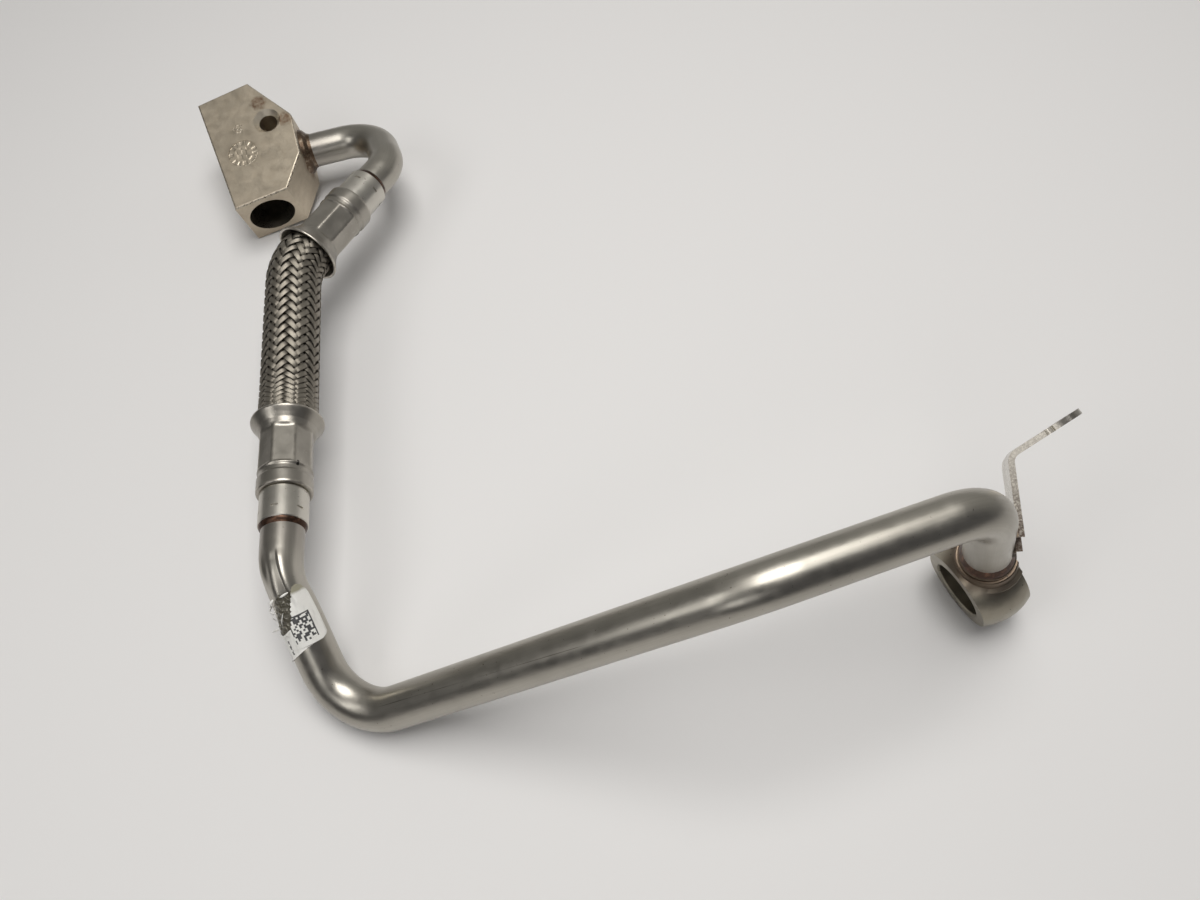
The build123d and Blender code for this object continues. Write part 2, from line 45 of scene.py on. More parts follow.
# Centre lines of the two pipes and the hose: corners, then the bend radius at each inner corner
PIPE_R = 8.0 * MM
PIPE_BORE_R = 6.5 * MM
PIPE_CORNERS = (
    (-112.8, -88.7, 35.4),
    (-112.1, -108.6, 37.0),
    (-98.4, -155.4, 0.5),
    (47.0, -155.4, 82.7),
    (124.1, -138.9, 79.8),
    (134.4, -139.2, 40.8),
)
PIPE_RADII = (20.0, 21.6, 45.0, 19.8)
HOOK_CORNERS = ((-115.1, 126.0, 22.8), (-79.7, 131.3, 22.8), (-71.8, 97.7, 32.5))
HOOK_RADII = (19.4, 18.9)
UPPER_LIP = (-107.3, 43.4, 37.6)
FITTING_LEN = 48.3
SOCKET_DEPTH = 8.0
PIPE_SEAT = 8.5
HOOK_SEAT = 8.0
HOSE_LOWER_STRAIGHT = 14.0
HOSE_UPPER_STRAIGHT = 9.5
HOSE_RADII = (70.0, 30.0)
PIPE_STEP = 1.0 * MM
HOSE_STEP = 0.5 * MM

# Long pipe's dented stretch, and the gaps between its rings there and elsewhere
DENTED = (16.0, 62.0)
DENTED_STEP = 0.4
PLAIN_STEP = 1.25

# Columns by their angle from the top: of the long pipe, closer by the dents, of the others and of a shell
FINE_COLUMNS = np.concatenate([
    np.linspace(180, 80, 21)[:-1], np.linspace(80, -40, 81)[:-1], np.linspace(-40, -180, 29)[:-1],
])
EVEN_COLUMNS = np.linspace(180, -180, 97)[:-1]
SHELL_COLUMNS = np.linspace(180, -180, 181)[:-1]

# Points closer than this are merged
WELD_GAP = 0.002 * MM

# Dents beside the sticker: depth, place along and round the pipe, length along it, width round it
DENTS = (
    (1.25, 29.5, -82, 8.5, 34),
    (1.9, 35.0, 64, 7.5, 30),
    (0.85, 26.5, 36, 5.5, 17),
)

# Crease among the dents: its ends along the pipe, where it starts, how far it drifts, height and widths
CREASE_GROWS = (20.5, 24.0)
CREASE_FADES = (36.0, 42.0)
CREASE_START_RUN = 22.2
CREASE_START_TURN = -11
CREASE_DRIFT_RUN = 11.8
CREASE_DRIFT_TURN = 7
CREASE_H = 0.40
CREASE_RIGHT_W = 20.0
CREASE_LEFT_W = 6.0

# Step on the left of the crease: its depth, and where it goes down and comes back, off the crease
STEP_DEPTH = 0.55
STEP_DOWN = (1.0, 9.0)
STEP_BACK = (12.0, 58.0)

# Long scratch in the tube's own plane, in metres: its slant, its place, half width, wiggle and two ends
SCRATCH_SLANT = 0.0249
SCRATCH_PLACE = -0.00174
SCRATCH_HALF_W = (0.0003, 0.00042)
SCRATCH_WIGGLE = 0.0006
SCRATCH_GROWS = (0.097, 0.103)
SCRATCH_FADES = (0.188, 0.194)

# Sticker: its ends, rows and columns, and its side edges by the run along the tube, the right one first
LABEL_ENDS = (31.9, 59.0)
LABEL_ROWS = 110
LABEL_COLUMNS = 60
LABEL_RIGHT = (
    (31.9, 32.6, 34.5, 36.0, 51.8, 52.7, 53.3, 53.6, 54.6, 56.5, 58.2, 59.0),
    (-36.0, -52.0, -63.0, -66.0, -66.0, -58.0, -44.0, -6.0, 16.0, 48.0, 84.0, 116.0),
)
LABEL_LEFT = (
    (31.9, 32.4, 33.5, 37.0, 41.2, 45.5, 47.0, 48.0, 49.0, 59.0),
    (-35.0, -24.0, -17.0, -3.0, 7.0, 22.0, 50.0, 95.0, 118.0, 118.0),
)

# Thickness of the film, its gap to the tube, the curl of the right edge and the rise toward the left
FILM_T = 0.12
FILM_GAP = 0.01
CURL_H = 0.55
CURL_W = 1.1
CURL_GROWS = (53.6, 57.0)
LABEL_RISE = 0.05

# Tear on the sticker's left edge: the stretches that it grows and fades in
TEAR_GROWS = (33.0, 35.0)
TEAR_FADES = (46.5, 48.5)

# Waves of a torn edge: size in degrees, radians per mm along the tube, and start in radians
LABEL_TEAR = ((2.2, 4.1, 0.0), (1.6, 7.7, 1.0))
CRUMPLE_TEAR = ((3.0, 3.3, 0.0), (2.0, 8.1, 0.0))

# Crumpled film left of the sticker: ends, rows and columns, left edge, and its lap under the sticker
CRUMPLE_ENDS = (33.2, 47.8)
CRUMPLE_ROWS = 90
CRUMPLE_COLUMNS = 56
CRUMPLE_LEFT = ((33.2, 35.0, 38.0, 42.0, 46.0, 47.8), (14.0, 46.0, 60.0, 66.0, 74.0, 60.0))
CRUMPLE_UNDER = 2.5

# Creases in the crumpled film: radians per mm along and round the tube, then the sway of two of them
CRUMPLE_WAVES = ((1.1, 0.9), (-0.7, 1.5), (2.3, 0.4))
CRUMPLE_SWAYS = ((0.6, 1.7), (0.8, 0.9))

# Height of the crumpled film between its creases, and of its first and third creases over that
CRUMPLE_LOW = 0.10
FIRST_CREASE_H = 0.55
THIRD_CREASE_H = 0.14

# Shreds torn loose at the left: run and turn of both ends, then width and lift
SHREDS = (
    (34.0, 40.0, 36.6, 74.0, 1.0, 1.7),
    (36.4, 80.0, 39.0, 56.0, 0.7, 2.0),
    (37.6, 62.0, 41.8, 70.0, 0.5, 1.5),
    (39.0, 22.0, 44.5, 40.0, 0.5, 0.9),
    (45.8, 96.0, 44.0, 58.0, 0.45, 2.4),
    (47.6, 30.0, 46.4, 72.0, 0.45, 1.2),
    (46.2, 26.0, 47.8, 44.0, 0.4, 1.0),
    (33.4, -12.0, 33.9, 14.0, 0.6, 0.6),
)
SHRED_STEPS = 16
SHRED_CLEAR = 0.25
SHRED_T = 0.1

# Print on the sticker's own plane, X along the tube and Y round it, in metres
CELL = 0.00072
SOLID_LINE = CELL * 0.7
SQUARE_X = (0.0414, 0.0515)
SQUARE_Y = (-0.0053, 0.0031)
STROKES_X = (0.0495, 0.0550)
STROKES_Y = (0.0060, 0.0071)
AGED_EDGE = (0.0343, 0.0352)
PLAIN_SPOT = (0.045, 0.012)

# Crimped shells: runs from the open lip
LIP_R = 14.3
SHELL_R = 10.6
CRIMP_FROM = 7.4
CRIMP_END = 25.0
GROOVE_END = 28.0
GROOVE_DEPTH = 0.55
SHELL_LEN = 34.4
SHELL_BORE_R = 9.4
STEM_HOLE_R = 7.0
STEM_WALL = 2.2
FLATS = 8
ACROSS_FLATS = 19.9
FLAT_BLEND = 0.07
FLAT_WAIST = 0.12
LOWER_TWIST = 8.0
UPPER_TWIST = 20.0
PROFILE_STEP = 0.3

# Rubbed edges of a shell: place, width and strength at the flats' corners, the rim and the far end
CORNER_RUB_W = 2.2
CORNER_RUB = 0.6
RIM_RUB_AT = 0.3
RIM_RUB_W = 0.5
END_RUB_BACK = 0.7
END_RUB_W = 0.35
END_RUB = 0.6

# Small slit in the lower shell, painted as dark shade at three places in metres
SLIT_AT = ((-0.10635, -0.06405, 0.04036), (-0.10637, -0.06470, 0.04045), (-0.10640, -0.06535, 0.04055))

# Braided cover of the hose: carriers each way, rows along it, its radii and the rise of a crossing
CARRIERS = 16
ROWS = 26.0
ROW_SAMPLES = 9
BRAID_LOW_R = 11.25 * MM
BRAID_HIGH_R = 10.9 * MM
BRAID_WAVE = 0.42 * MM
WAVE_FLATNESS = 2.2
BRAID_END_R = 9.4 * MM
BRAID_MOUTH = 5.0
DRAWN_IN_LEN = 1.6 * BRAID_MOUTH

# Its pitch at the low end as a share of the rest, and the runs between which it grows to the rest
PITCH_LOW = 0.55
PITCH_GROWS = (6.0, 36.0)

# Dark sleeve under the ribbons, its colour painted shade for the gaps between them
UNDERLAY_R = 10.35 * MM
UNDERLAY_BORE_R = 8.6 * MM

# One ribbon of the cover: its wires, its rounded edges, and the share of its width that its back takes
RIBBON_W = 2.2 * MM
RIBBON_WIRES = 7
RIBBON_H = 0.05 * MM
WIRE_H = 0.13 * MM
RIBBON_EDGE_DROP = 0.12 * MM
RIBBON_BACK_DROP = 0.22 * MM
RIBBON_BACK_SHARE = 0.75

# Painted shade of a ribbon where it dives and how much it gains on top, and across it between and on its
# wires
DIP_SHADE = 0.42
TOP_SHADE = 0.50
GAP_SHADE = 0.72
WIRE_SHADE = 0.28
EDGE_SHADE_DROP = 0.75

# Upper face of the cast block: its corner by the port, the way up from it and the way across it
BLOCK_CORNER = np.array((-147.19, 88.42, 27.23))
BLOCK_UP = (-0.0197, -0.2266, 0.9738)
BLOCK_ACROSS = (0.9627, 0.2588, 0.0795)

# Marks on that face, across and along it from the corner, and the rows and columns of their grid
BADGE_AT = (12.8, 28.0)
BADGE_R = 7.2
BADGE_REACH = 7.6
BADGE_DROP = 0.03
BADGE_CUT = 0.15
SPOT_AT = (14.6, 42.3)
SPOT_R = 3.2
SPOT_REACH = 3.8
SPOT_H = 0.30
SPOT_DROP = 0.04
SPOT_EDGE_DROP = 0.5
HIDDEN_DROP = 0.8
MARKS_UNDERSIDE = 1.0
MARKS_ROWS = 130
MARKS_COLUMNS = 200
RUST_AT = ((28.3, 52.3), (37.8, 38.0))

# Rust radii, the bolt hole's mouth, the port's place, way, radius and the stretch where the painted shade
# in its bore fades in, in metres
RUST_R = (0.0028, 0.0026)
BOLT_MOUTH_AT = (-0.1301, 0.1346, 0.0361)
PORT_AT = (-0.136543, 0.103491, 0.016527)
PORT_WAY = (0.270019, -0.938991, -0.213038)
PORT_R = 0.01092
PORT_SHADE_FADE = (-0.030, -0.026)

# Bracket: the middle of its eye in metres, the way that its strip leans, and its foot off the pipe's end
STRIP_EYE_AT = (0.15868, -0.111297, 0.073887)
STRIP_LEAN = (0.054, 0.916, 0.397)
FOOT_OUT = 9.0
FOOT_BACK = 8.0

# Colours of the tubes and collars
TUBE_TINT = (0.435, 0.412, 0.365)
TUBE_STREAK = (0.31, 0.29, 0.25)
TUBE_HEAT = (0.25, 0.225, 0.21)
TUBE_PIT = (0.12, 0.10, 0.08)
SCRATCH_TINT = (0.10, 0.09, 0.07)
COLLAR_TINT = (0.58, 0.555, 0.50)

# Colours of the shells, and of the braid: painted shade in its dips and painted highlight on its crowns
SHELL_TINT = (0.36, 0.338, 0.30)
SHELL_RUBBED = (0.62, 0.58, 0.51)
SLIT_SHADE_TINT = (0.03, 0.028, 0.025)
WIRE_DIP_SHADE = (0.085, 0.074, 0.058)
WIRE_CROWN_HIGHLIGHT = (0.34, 0.312, 0.265)
UNDERLAY_SHADE_TINT = (0.07, 0.062, 0.05)

# Colours of the cast block
BLOCK_TINT = (0.52, 0.455, 0.36)
BLOCK_CLOUD = (0.39, 0.325, 0.24)
BLOCK_RIM = (0.66, 0.60, 0.50)
BLOCK_SPECK = (0.10, 0.065, 0.045)
BLOCK_RUST = (0.215, 0.135, 0.085)
BLOCK_SCALD = (0.20, 0.125, 0.085)
PORT_BORE_SHADE = (0.075, 0.070, 0.062)

# Colours of the banjo eye and its bracket
EYE_TINT = (0.31, 0.284, 0.23)
EYE_SCALD = (0.17, 0.115, 0.08)
EYE_PIT = (0.08, 0.07, 0.06)
STRIP_TINT = (0.58, 0.56, 0.51)
STRIP_EDGE = (0.62, 0.59, 0.53)
STRIP_PALE_BIT = (0.70, 0.65, 0.56)
STRIP_BROWN_BIT = (0.12, 0.08, 0.06)
STRIP_EYE_SHADE = (0.06, 0.055, 0.048)
STRIP_FOOT = (0.15, 0.11, 0.085)

# Colours of the brazes, skin first and then its brighter spots
COPPER_TINTS = ((0.060, 0.036, 0.026), (0.17, 0.090, 0.058))
SEAM_TINTS = ((0.13, 0.090, 0.062), (0.30, 0.245, 0.185))
SCALE_TINTS = ((0.06, 0.048, 0.038), (0.22, 0.17, 0.12))

# Colours of the rubber, the sticker and the table
RUBBER_TINT = (0.03, 0.03, 0.03)
FILM_TINT = (0.88, 0.87, 0.83)
FILM_SMEAR = (0.50, 0.49, 0.45)
FILM_AGED = (0.34, 0.32, 0.24)
FILM_INK = (0.025, 0.025, 0.03)
CRUMPLE_DARK = (0.070, 0.062, 0.044)
CRUMPLE_PALE = (0.38, 0.36, 0.29)
TABLE_TINT = (0.80, 0.79, 0.785)

# Table: half its side in metres, and its roughness
TABLE_HALF = 3.0
TABLE_ROUGH = 0.6

# Camera of the photograph: its place in metres, the way it looks, its roll, lens and sensor width
CAMERA_AT = (0.00679, -0.24370, 0.33436)
CAMERA_LOOK = (0.004838, 0.490635, -0.871352)
CAMERA_ROLL = -7.75
CAMERA_LENS = 27.0
CAMERA_SENSOR = 36.0

# Room seen in the metal, by the direction's Y from the viewer's side to the back, and dimmer at low X
ROOM_BACK = (0.33, 0.325, 0.31)
ROOM_FRONT = (0.085, 0.085, 0.09)
ROOM_BLEND_Y = (-0.30, 0.45)
ROOM_LEFT_SHARE = 0.45
ROOM_BLEND_X = (-0.85, -0.15)

# Lamps: name, place, point looked at and size in metres, power in watts, colour, turn about the beam
LAMPS = (
    ("overhead_panel", (0.10, 0.06, 1.05), (0.08, 0.06, 0.0), (0.80, 0.58), 8.0, (1.0, 0.985, 0.96), 0.0),
    ("side_window", (-0.64, -0.36, 0.74), (0.04, -0.15, 0.05), (0.56, 0.28), 1.3, (1.0, 0.99, 0.97), -32.0),
    ("front_window", (-0.28, -1.00, 0.62), (-0.10, -0.14, 0.02), (0.42, 0.36), 0.7, (1.0, 0.99, 0.97), 0.0),
)


def unit(v):
    """A vector divided by its own length, also row by row."""
    v = np.asarray(v, float)
    return v / np.linalg.norm(v, axis=-1, keepdims=True)


def smooth(x, low, high):
    """0 below low, 1 above high, and 3 t^2 - 2 t^3 between."""
    t = np.clip((x - low) / (high - low), 0, 1)
    return t * t * (3 - 2 * t)


def wrapped(degrees, period=360.0):
    """An angle brought to within half a period of zero."""
    return (degrees + period / 2) % period - period / 2


# Directions and places worked out from the corners

block_up = unit(BLOCK_UP)
block_across = unit(np.array(BLOCK_ACROSS) - block_up * np.dot(BLOCK_ACROSS, block_up))
block_along = np.cross(block_up, block_across)

pipe_low_end = np.array(PIPE_CORNERS[0])
pipe_eye_end = np.array(PIPE_CORNERS[-1])
hook_block_end = np.array(HOOK_CORNERS[0])
upper_lip = np.array(UPPER_LIP)

lower_axis = unit(np.subtract(PIPE_CORNERS[0], PIPE_CORNERS[1]))
neck_axis = unit(np.subtract(PIPE_CORNERS[-1], PIPE_CORNERS[-2]))
hook_axis = unit(np.subtract(HOOK_CORNERS[1], HOOK_CORNERS[0]))
upper_axis = unit(np.subtract(HOOK_CORNERS[2], UPPER_LIP))
lower_lip = pipe_low_end + lower_axis * FITTING_LEN
upper_end = upper_lip + upper_axis * FITTING_LEN

strip_out = unit(np.cross(STRIP_LEAN, neck_axis))
strip_out = strip_out * np.sign(strip_out[0])
strip_across = unit(np.cross(STRIP_LEAN, strip_out))
foot_shift = (strip_out * FOOT_OUT - neck_axis * FOOT_BACK) * MM


def block_point(x, y, height):
    """A place on the block's upper face: corner + x across + y along + height up, in mm."""
    x, y, height = (np.asarray(v, float)[..., None] for v in (x, y, height))
    return BLOCK_CORNER + block_across * x + block_along * y + block_up * height


# Mesh makers

def add_object(name, data):
    """A new object in the scene, at the origin."""
    obj = bpy.data.objects.new(name, data)
    bpy.context.scene.collection.objects.link(obj)
    return obj


def new_piece(name, verts, faces, material):
    """A smooth mesh object at the origin from vertex and face arrays, riding on the one body."""
    mesh = bpy.data.meshes.new(name)
    mesh.from_pydata(verts.reshape(-1, 3).tolist(), [], faces.tolist())
    mesh.update()
    mesh.polygons.foreach_set("use_smooth", np.ones(len(mesh.polygons), bool))
    mesh.materials.append(material)
    obj = add_object(name, mesh)
    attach(obj, BODY)
    return obj


def grid_faces(rows, columns, close_rows, close_columns):
    """Quads (i, j) (i+1, j) (i+1, j+1) (i, j+1) over a grid, wrapping where it closes on itself."""
    i = np.arange(rows if close_rows else rows - 1)
    j = np.arange(columns if close_columns else columns - 1)
    i, j = np.meshgrid(i, j, indexing="ij")
    up, over = (i + 1) % rows, (j + 1) % columns
    quads = np.stack([i * columns + j, up * columns + j, up * columns + over, i * columns + over], -1)
    return quads.reshape(-1, 4)


def set_uv(obj, u, v):
    """UV of a grid's quads from the values on its lines, one more of them where the grid closes."""
    i, j = np.meshgrid(np.arange(len(u) - 1), np.arange(len(v) - 1), indexing="ij")
    corners = np.stack([
        np.stack([u[i], v[j]], -1),
        np.stack([u[i + 1], v[j]], -1),
        np.stack([u[i + 1], v[j + 1]], -1),
        np.stack([u[i], v[j + 1]], -1),
    ], 2)
    layer = obj.data.uv_layers.new(name="UVMap")
    layer.data.foreach_set("uv", corners.reshape(-1).astype(np.float32))


def set_point_uv(obj, uv):
    """UV of each face corner from a pair of values on its vertex."""
    index = np.empty(len(obj.data.loops), np.int64)
    obj.data.loops.foreach_get("vertex_index", index)
    layer = obj.data.uv_layers.new(name="UVMap")
    layer.data.foreach_set("uv", uv.reshape(-1, 2)[index].reshape(-1).astype(np.float32))


def set_shade(obj, values):
    """A number on each vertex, read by the material as the attribute shade."""
    layer = obj.data.attributes.new("shade", "FLOAT", "POINT")
    layer.data.foreach_set("value", values.reshape(-1).astype(np.float32))


def weld(obj):
    """Merges the points that meet where a grid closes to an edge or a pole."""
    form = bmesh.new()
    form.from_mesh(obj.data)
    bmesh.ops.remove_doubles(form, verts=form.verts, dist=WELD_GAP)
    form.to_mesh(obj.data)
    form.free()


def dense(corners, step):
    """A closed outline with points at most a step apart between its corners."""
    corners = np.asarray(corners, float)
    rest = np.roll(corners, -1, axis=0)
    counts = np.maximum(1, np.ceil(np.linalg.norm(rest - corners, axis=1) / step).astype(int))
    which = np.repeat(np.arange(len(corners)), counts)
    share = np.concatenate([np.arange(n) / n for n in counts])[:, None]
    return corners[which] * (1 - share) + rest[which] * share


def turned(vectors, axis, angles):
    """Vectors turned about an axis by each angle: v cos a + (k x v) sin a + k (k . v)(1 - cos a)."""
    k = unit(axis)
    a = np.asarray(angles)[:, None]
    v = np.broadcast_to(vectors, (len(angles), 3))
    return v * np.cos(a) + np.cross(k, v) * np.sin(a) + k * (v @ k)[:, None] * (1 - np.cos(a))


def rounded_path(corners, radii, step):
    """Centre line of straight runs joined by tangent arcs.

    An arc of radius r that turns by t leaves the run r tan(t / 2) before the corner. Its points are
    the centre plus the start spoke turned about the arc's axis, and the tangent turns with it. Up is
    the vertical with its part along the tangent taken out. Returns points, tangents, ups and the
    length run so far, in metres.
    """
    corners = np.asarray(corners, float) * MM
    radii = np.asarray(radii, float) * MM
    heading = unit(corners[1:] - corners[:-1])
    turns = np.arccos(np.clip((heading[:-1] * heading[1:]).sum(1), -1, 1))
    trims = np.concatenate([[0.0], radii * np.tan(turns / 2), [0.0]])
    points, tangents, lengths = [], [], []
    run = 0.0
    for n, way in enumerate(heading):
        start = corners[n] + way * trims[n]
        span = np.linalg.norm(corners[n + 1] - corners[n]) - trims[n] - trims[n + 1]
        along = np.linspace(0.0, span, max(2, int(span / step) + 1))
        points.append(start + along[:, None] * way)
        tangents.append(np.broadcast_to(way, (len(along), 3)))
        lengths.append(run + along)
        run += span
        if n < len(turns):
            axis = unit(np.cross(way, heading[n + 1]))
            spoke = np.cross(way, axis) * radii[n]
            centre = start + way * span - spoke
            angles = np.linspace(0.0, turns[n], max(4, int(radii[n] * turns[n] / step) + 1))[1:-1]
            points.append(centre + turned(spoke, axis, angles))
            tangents.append(turned(way, axis, angles))
            lengths.append(run + radii[n] * angles)
            run += radii[n] * turns[n]
    tangents = np.concatenate(tangents)
    ups = unit(np.array([0.0, 0.0, 1.0]) - tangents * tangents[:, 2:3])
    return np.concatenate(points), tangents, ups, np.concatenate(lengths)


def on_path(path, s, angle, radius):
    """Points at a run s, an angle a from up and a distance r from the centre line.

    P(s) + r (cos a up + sin a (tangent x up)), with P, tangent and up read between the path's points.
    """
    points, tangents, ups, lengths = path
    shape = np.broadcast(s, angle, radius).shape
    s, angle, radius = (np.broadcast_to(x, shape).reshape(-1) for x in (s, angle, radius))
    at = np.stack([np.interp(s, lengths, points[:, k]) for k in range(3)], -1)
    tangent = unit(np.stack([np.interp(s, lengths, tangents[:, k]) for k in range(3)], -1))
    up = np.stack([np.interp(s, lengths, ups[:, k]) for k in range(3)], -1)
    up = unit(up - tangent * (up * tangent).sum(1)[:, None])
    side = np.cross(tangent, up)
    out = up * np.cos(angle)[:, None] + side * np.sin(angle)[:, None]
    return (at + out * radius[:, None]).reshape(shape + (3,))


# Material helpers, of which a few also serve the room

def link(mat, start, end):
    """Joins an output of one node to an input of another."""
    mat.node_tree.links.new(start, end)


def add_node(mat, kind, **settings):
    """A shader node with its inputs or properties set by name."""
    node = mat.node_tree.nodes.new(kind)
    for key, value in settings.items():
        if key in node.inputs:
            node.inputs[key].default_value = value
        else:
            setattr(node, key, value)
    return node


def axes(mat, vector):
    """The X and the Y of a vector."""
    split = add_node(mat, "ShaderNodeSeparateXYZ")
    link(mat, vector, split.inputs[0])
    return split.outputs["X"], split.outputs["Y"]


def dot_with(mat, vector, way):
    """The part of a vector that lies along a direction: vector . way."""
    dot = add_node(mat, "ShaderNodeVectorMath", operation="DOT_PRODUCT")
    dot.inputs[1].default_value = tuple(way)
    link(mat, vector, dot.inputs[0])
    return dot.outputs["Value"]


def noise(mat, vector, scale, detail=3.0, rough=0.5, stretch=None):
    """Layered noise from 0 to 1 at vector x scale, each axis first multiplied by its own stretch."""
    if stretch is not None:
        mapping = add_node(mat, "ShaderNodeMapping")
        mapping.inputs["Scale"].default_value = stretch
        link(mat, vector, mapping.inputs["Vector"])
        vector = mapping.outputs["Vector"]
    tex = add_node(mat, "ShaderNodeTexNoise")
    tex.inputs["Scale"].default_value = scale
    tex.inputs["Detail"].default_value = detail
    tex.inputs["Roughness"].default_value = rough
    link(mat, vector, tex.inputs["Vector"])
    return tex.outputs["Fac"]


def spread(mat, value, low, high, to_low=0.0, to_high=1.0):
    """A value mapped from low..high to to_low..to_high and held there."""
    node = add_node(mat, "ShaderNodeMapRange")
    for key, number in (("From Min", low), ("From Max", high), ("To Min", to_low), ("To Max", to_high)):
        node.inputs[key].default_value = number
    link(mat, value, node.inputs["Value"])
    return node.outputs["Result"]


def combine(mat, how, first, second):
    """One step of arithmetic on two values, each of them a socket or a number."""
    node = add_node(mat, "ShaderNodeMath", operation=how)
    for n, item in enumerate((first, second)):
        if isinstance(item, (int, float)):
            node.inputs[n].default_value = item
        else:
            link(mat, item, node.inputs[n])
    return node.outputs[0]


def mix_colour(mat, share, first, second):
    """first (1 - share) + second share, each of them a socket or a tint."""
    node = add_node(mat, "ShaderNodeMix", data_type="RGBA")
    link(mat, share, node.inputs[0])
    for socket, item in ((node.inputs[6], first), (node.inputs[7], second)):
        if isinstance(item, tuple):
            socket.default_value = item + (1.0,)
        else:
            link(mat, item, socket)
    return node.outputs[2]


def laid_over(mat, colour, mask, amount, tint):
    """A tint over a colour, by mask x amount."""
    return mix_colour(mat, combine(mat, "MULTIPLY", mask, amount), colour, tint)


def near(mat, vector, centre, radius, fade, ragged=0.0, grain=400.0):
    """1 within radius of a point and 0 past radius + fade, its edge pushed about by noise."""
    gap = add_node(mat, "ShaderNodeVectorMath", operation="DISTANCE")
    gap.inputs[1].default_value = tuple(centre)
    link(mat, vector, gap.inputs[0])
    value = gap.outputs["Value"]
    if ragged:
        push = combine(mat, "MULTIPLY", noise(mat, vector, grain, 4.0), ragged)
        value = combine(mat, "ADD", value, push)
    return spread(mat, value, radius + ragged / 2, radius + fade + ragged / 2, 1.0, 0.0)


def beside(mat, place, centre, way, radius):
    """1 where a point lies within radius of a line: |(point - centre) x way| below radius."""
    arm = add_node(mat, "ShaderNodeVectorMath", operation="SUBTRACT")
    arm.inputs[1].default_value = centre
    link(mat, place, arm.inputs[0])
    swept = add_node(mat, "ShaderNodeVectorMath", operation="CROSS_PRODUCT")
    swept.inputs[1].default_value = way
    link(mat, arm.outputs["Vector"], swept.inputs[0])
    gap = add_node(mat, "ShaderNodeVectorMath", operation="LENGTH")
    link(mat, swept.outputs["Vector"], gap.inputs[0])
    return combine(mat, "LESS_THAN", gap.outputs["Value"], radius)


def within(mat, value, low, high):
    """1 where a value lies between low and high."""
    above = combine(mat, "GREATER_THAN", value, low)
    return combine(mat, "MULTIPLY", above, combine(mat, "LESS_THAN", value, high))


def facing(mat, way, low, high):
    """0 to 1 as the surface turns toward a direction: normal . way from low to high."""
    normal = add_node(mat, "ShaderNodeNewGeometry").outputs["Normal"]
    return spread(mat, dot_with(mat, normal, way), low, high)


def along(mat, place, way, origin):
    """How far a point lies from an origin along a direction."""
    return combine(mat, "SUBTRACT", dot_with(mat, place, way), float(np.dot(way, origin)))


def shade_value(mat):
    """The number that set_shade left on the points."""
    return add_node(mat, "ShaderNodeAttribute", attribute_name="shade").outputs["Fac"]


def blended(mat, place, tint, vary, scale=45.0):
    """A tint that drifts between tint (1 - vary) and tint (1 + vary) over the piece."""
    slow = noise(mat, place, scale, 3.0)
    dark = tuple(c * (1 - vary) for c in tint)
    light = tuple(min(1.0, c * (1 + vary)) for c in tint)
    return mix_colour(mat, spread(mat, slow, 0.3, 0.7), dark, light)


def roughened(mat, shader, place, height, strength, rough, distance=0.0001):
    """Roughness that varies in patches, and a height as bump."""
    patches = noise(mat, place, 220.0, 4.0, 0.6)
    link(mat, spread(mat, patches, 0.3, 0.7, rough * 0.85, rough * 1.18), shader.inputs["Roughness"])
    bumped = add_node(mat, "ShaderNodeBump")
    bumped.inputs["Strength"].default_value = strength
    bumped.inputs["Distance"].default_value = distance
    link(mat, height, bumped.inputs["Height"])
    link(mat, bumped.outputs["Normal"], shader.inputs["Normal"])


def start_finish(name, metallic=1.0):
    """A new material, its shader, the Object coordinates and the piece's own UV."""
    mat = bpy.data.materials.new(name)
    mat.use_nodes = True
    shader = mat.node_tree.nodes["Principled BSDF"]
    shader.inputs["Metallic"].default_value = metallic
    place = add_node(mat, "ShaderNodeTexCoord")
    return mat, shader, place.outputs["Object"], place.outputs["UV"]


# Finishes of the pieces

def metal(name, tint, rough, vary=0.08, bump=0.15):
    """Satin metal: a drifting tint and a fine grain as bump."""
    mat, shader, place, _ = start_finish(name)
    link(mat, blended(mat, place, tint, vary), shader.inputs["Base Color"])
    roughened(mat, shader, place, noise(mat, place, 900.0, 5.0, 0.65), strength=bump, rough=rough)
    return mat


def long_scratch(mat, uv):
    """1 on the scratch: |Y - slant X - place| plus a wiggle under the half width, between its two ends."""
    run, over = axes(mat, uv)
    line = combine(mat, "ADD", combine(mat, "MULTIPLY", run, SCRATCH_SLANT), SCRATCH_PLACE)
    off = combine(mat, "ABSOLUTE", combine(mat, "SUBTRACT", over, line), 0.0)
    wiggle = combine(mat, "MULTIPLY", noise(mat, uv, 60.0, 4.0), SCRATCH_WIGGLE)
    mark = spread(mat, combine(mat, "ADD", off, wiggle), *SCRATCH_HALF_W, 1.0, 0.0)
    reach = spread(mat, run, *SCRATCH_GROWS)
    reach = combine(mat, "MULTIPLY", reach, spread(mat, run, *SCRATCH_FADES, 1.0, 0.0))
    return combine(mat, "MULTIPLY", mark, reach)


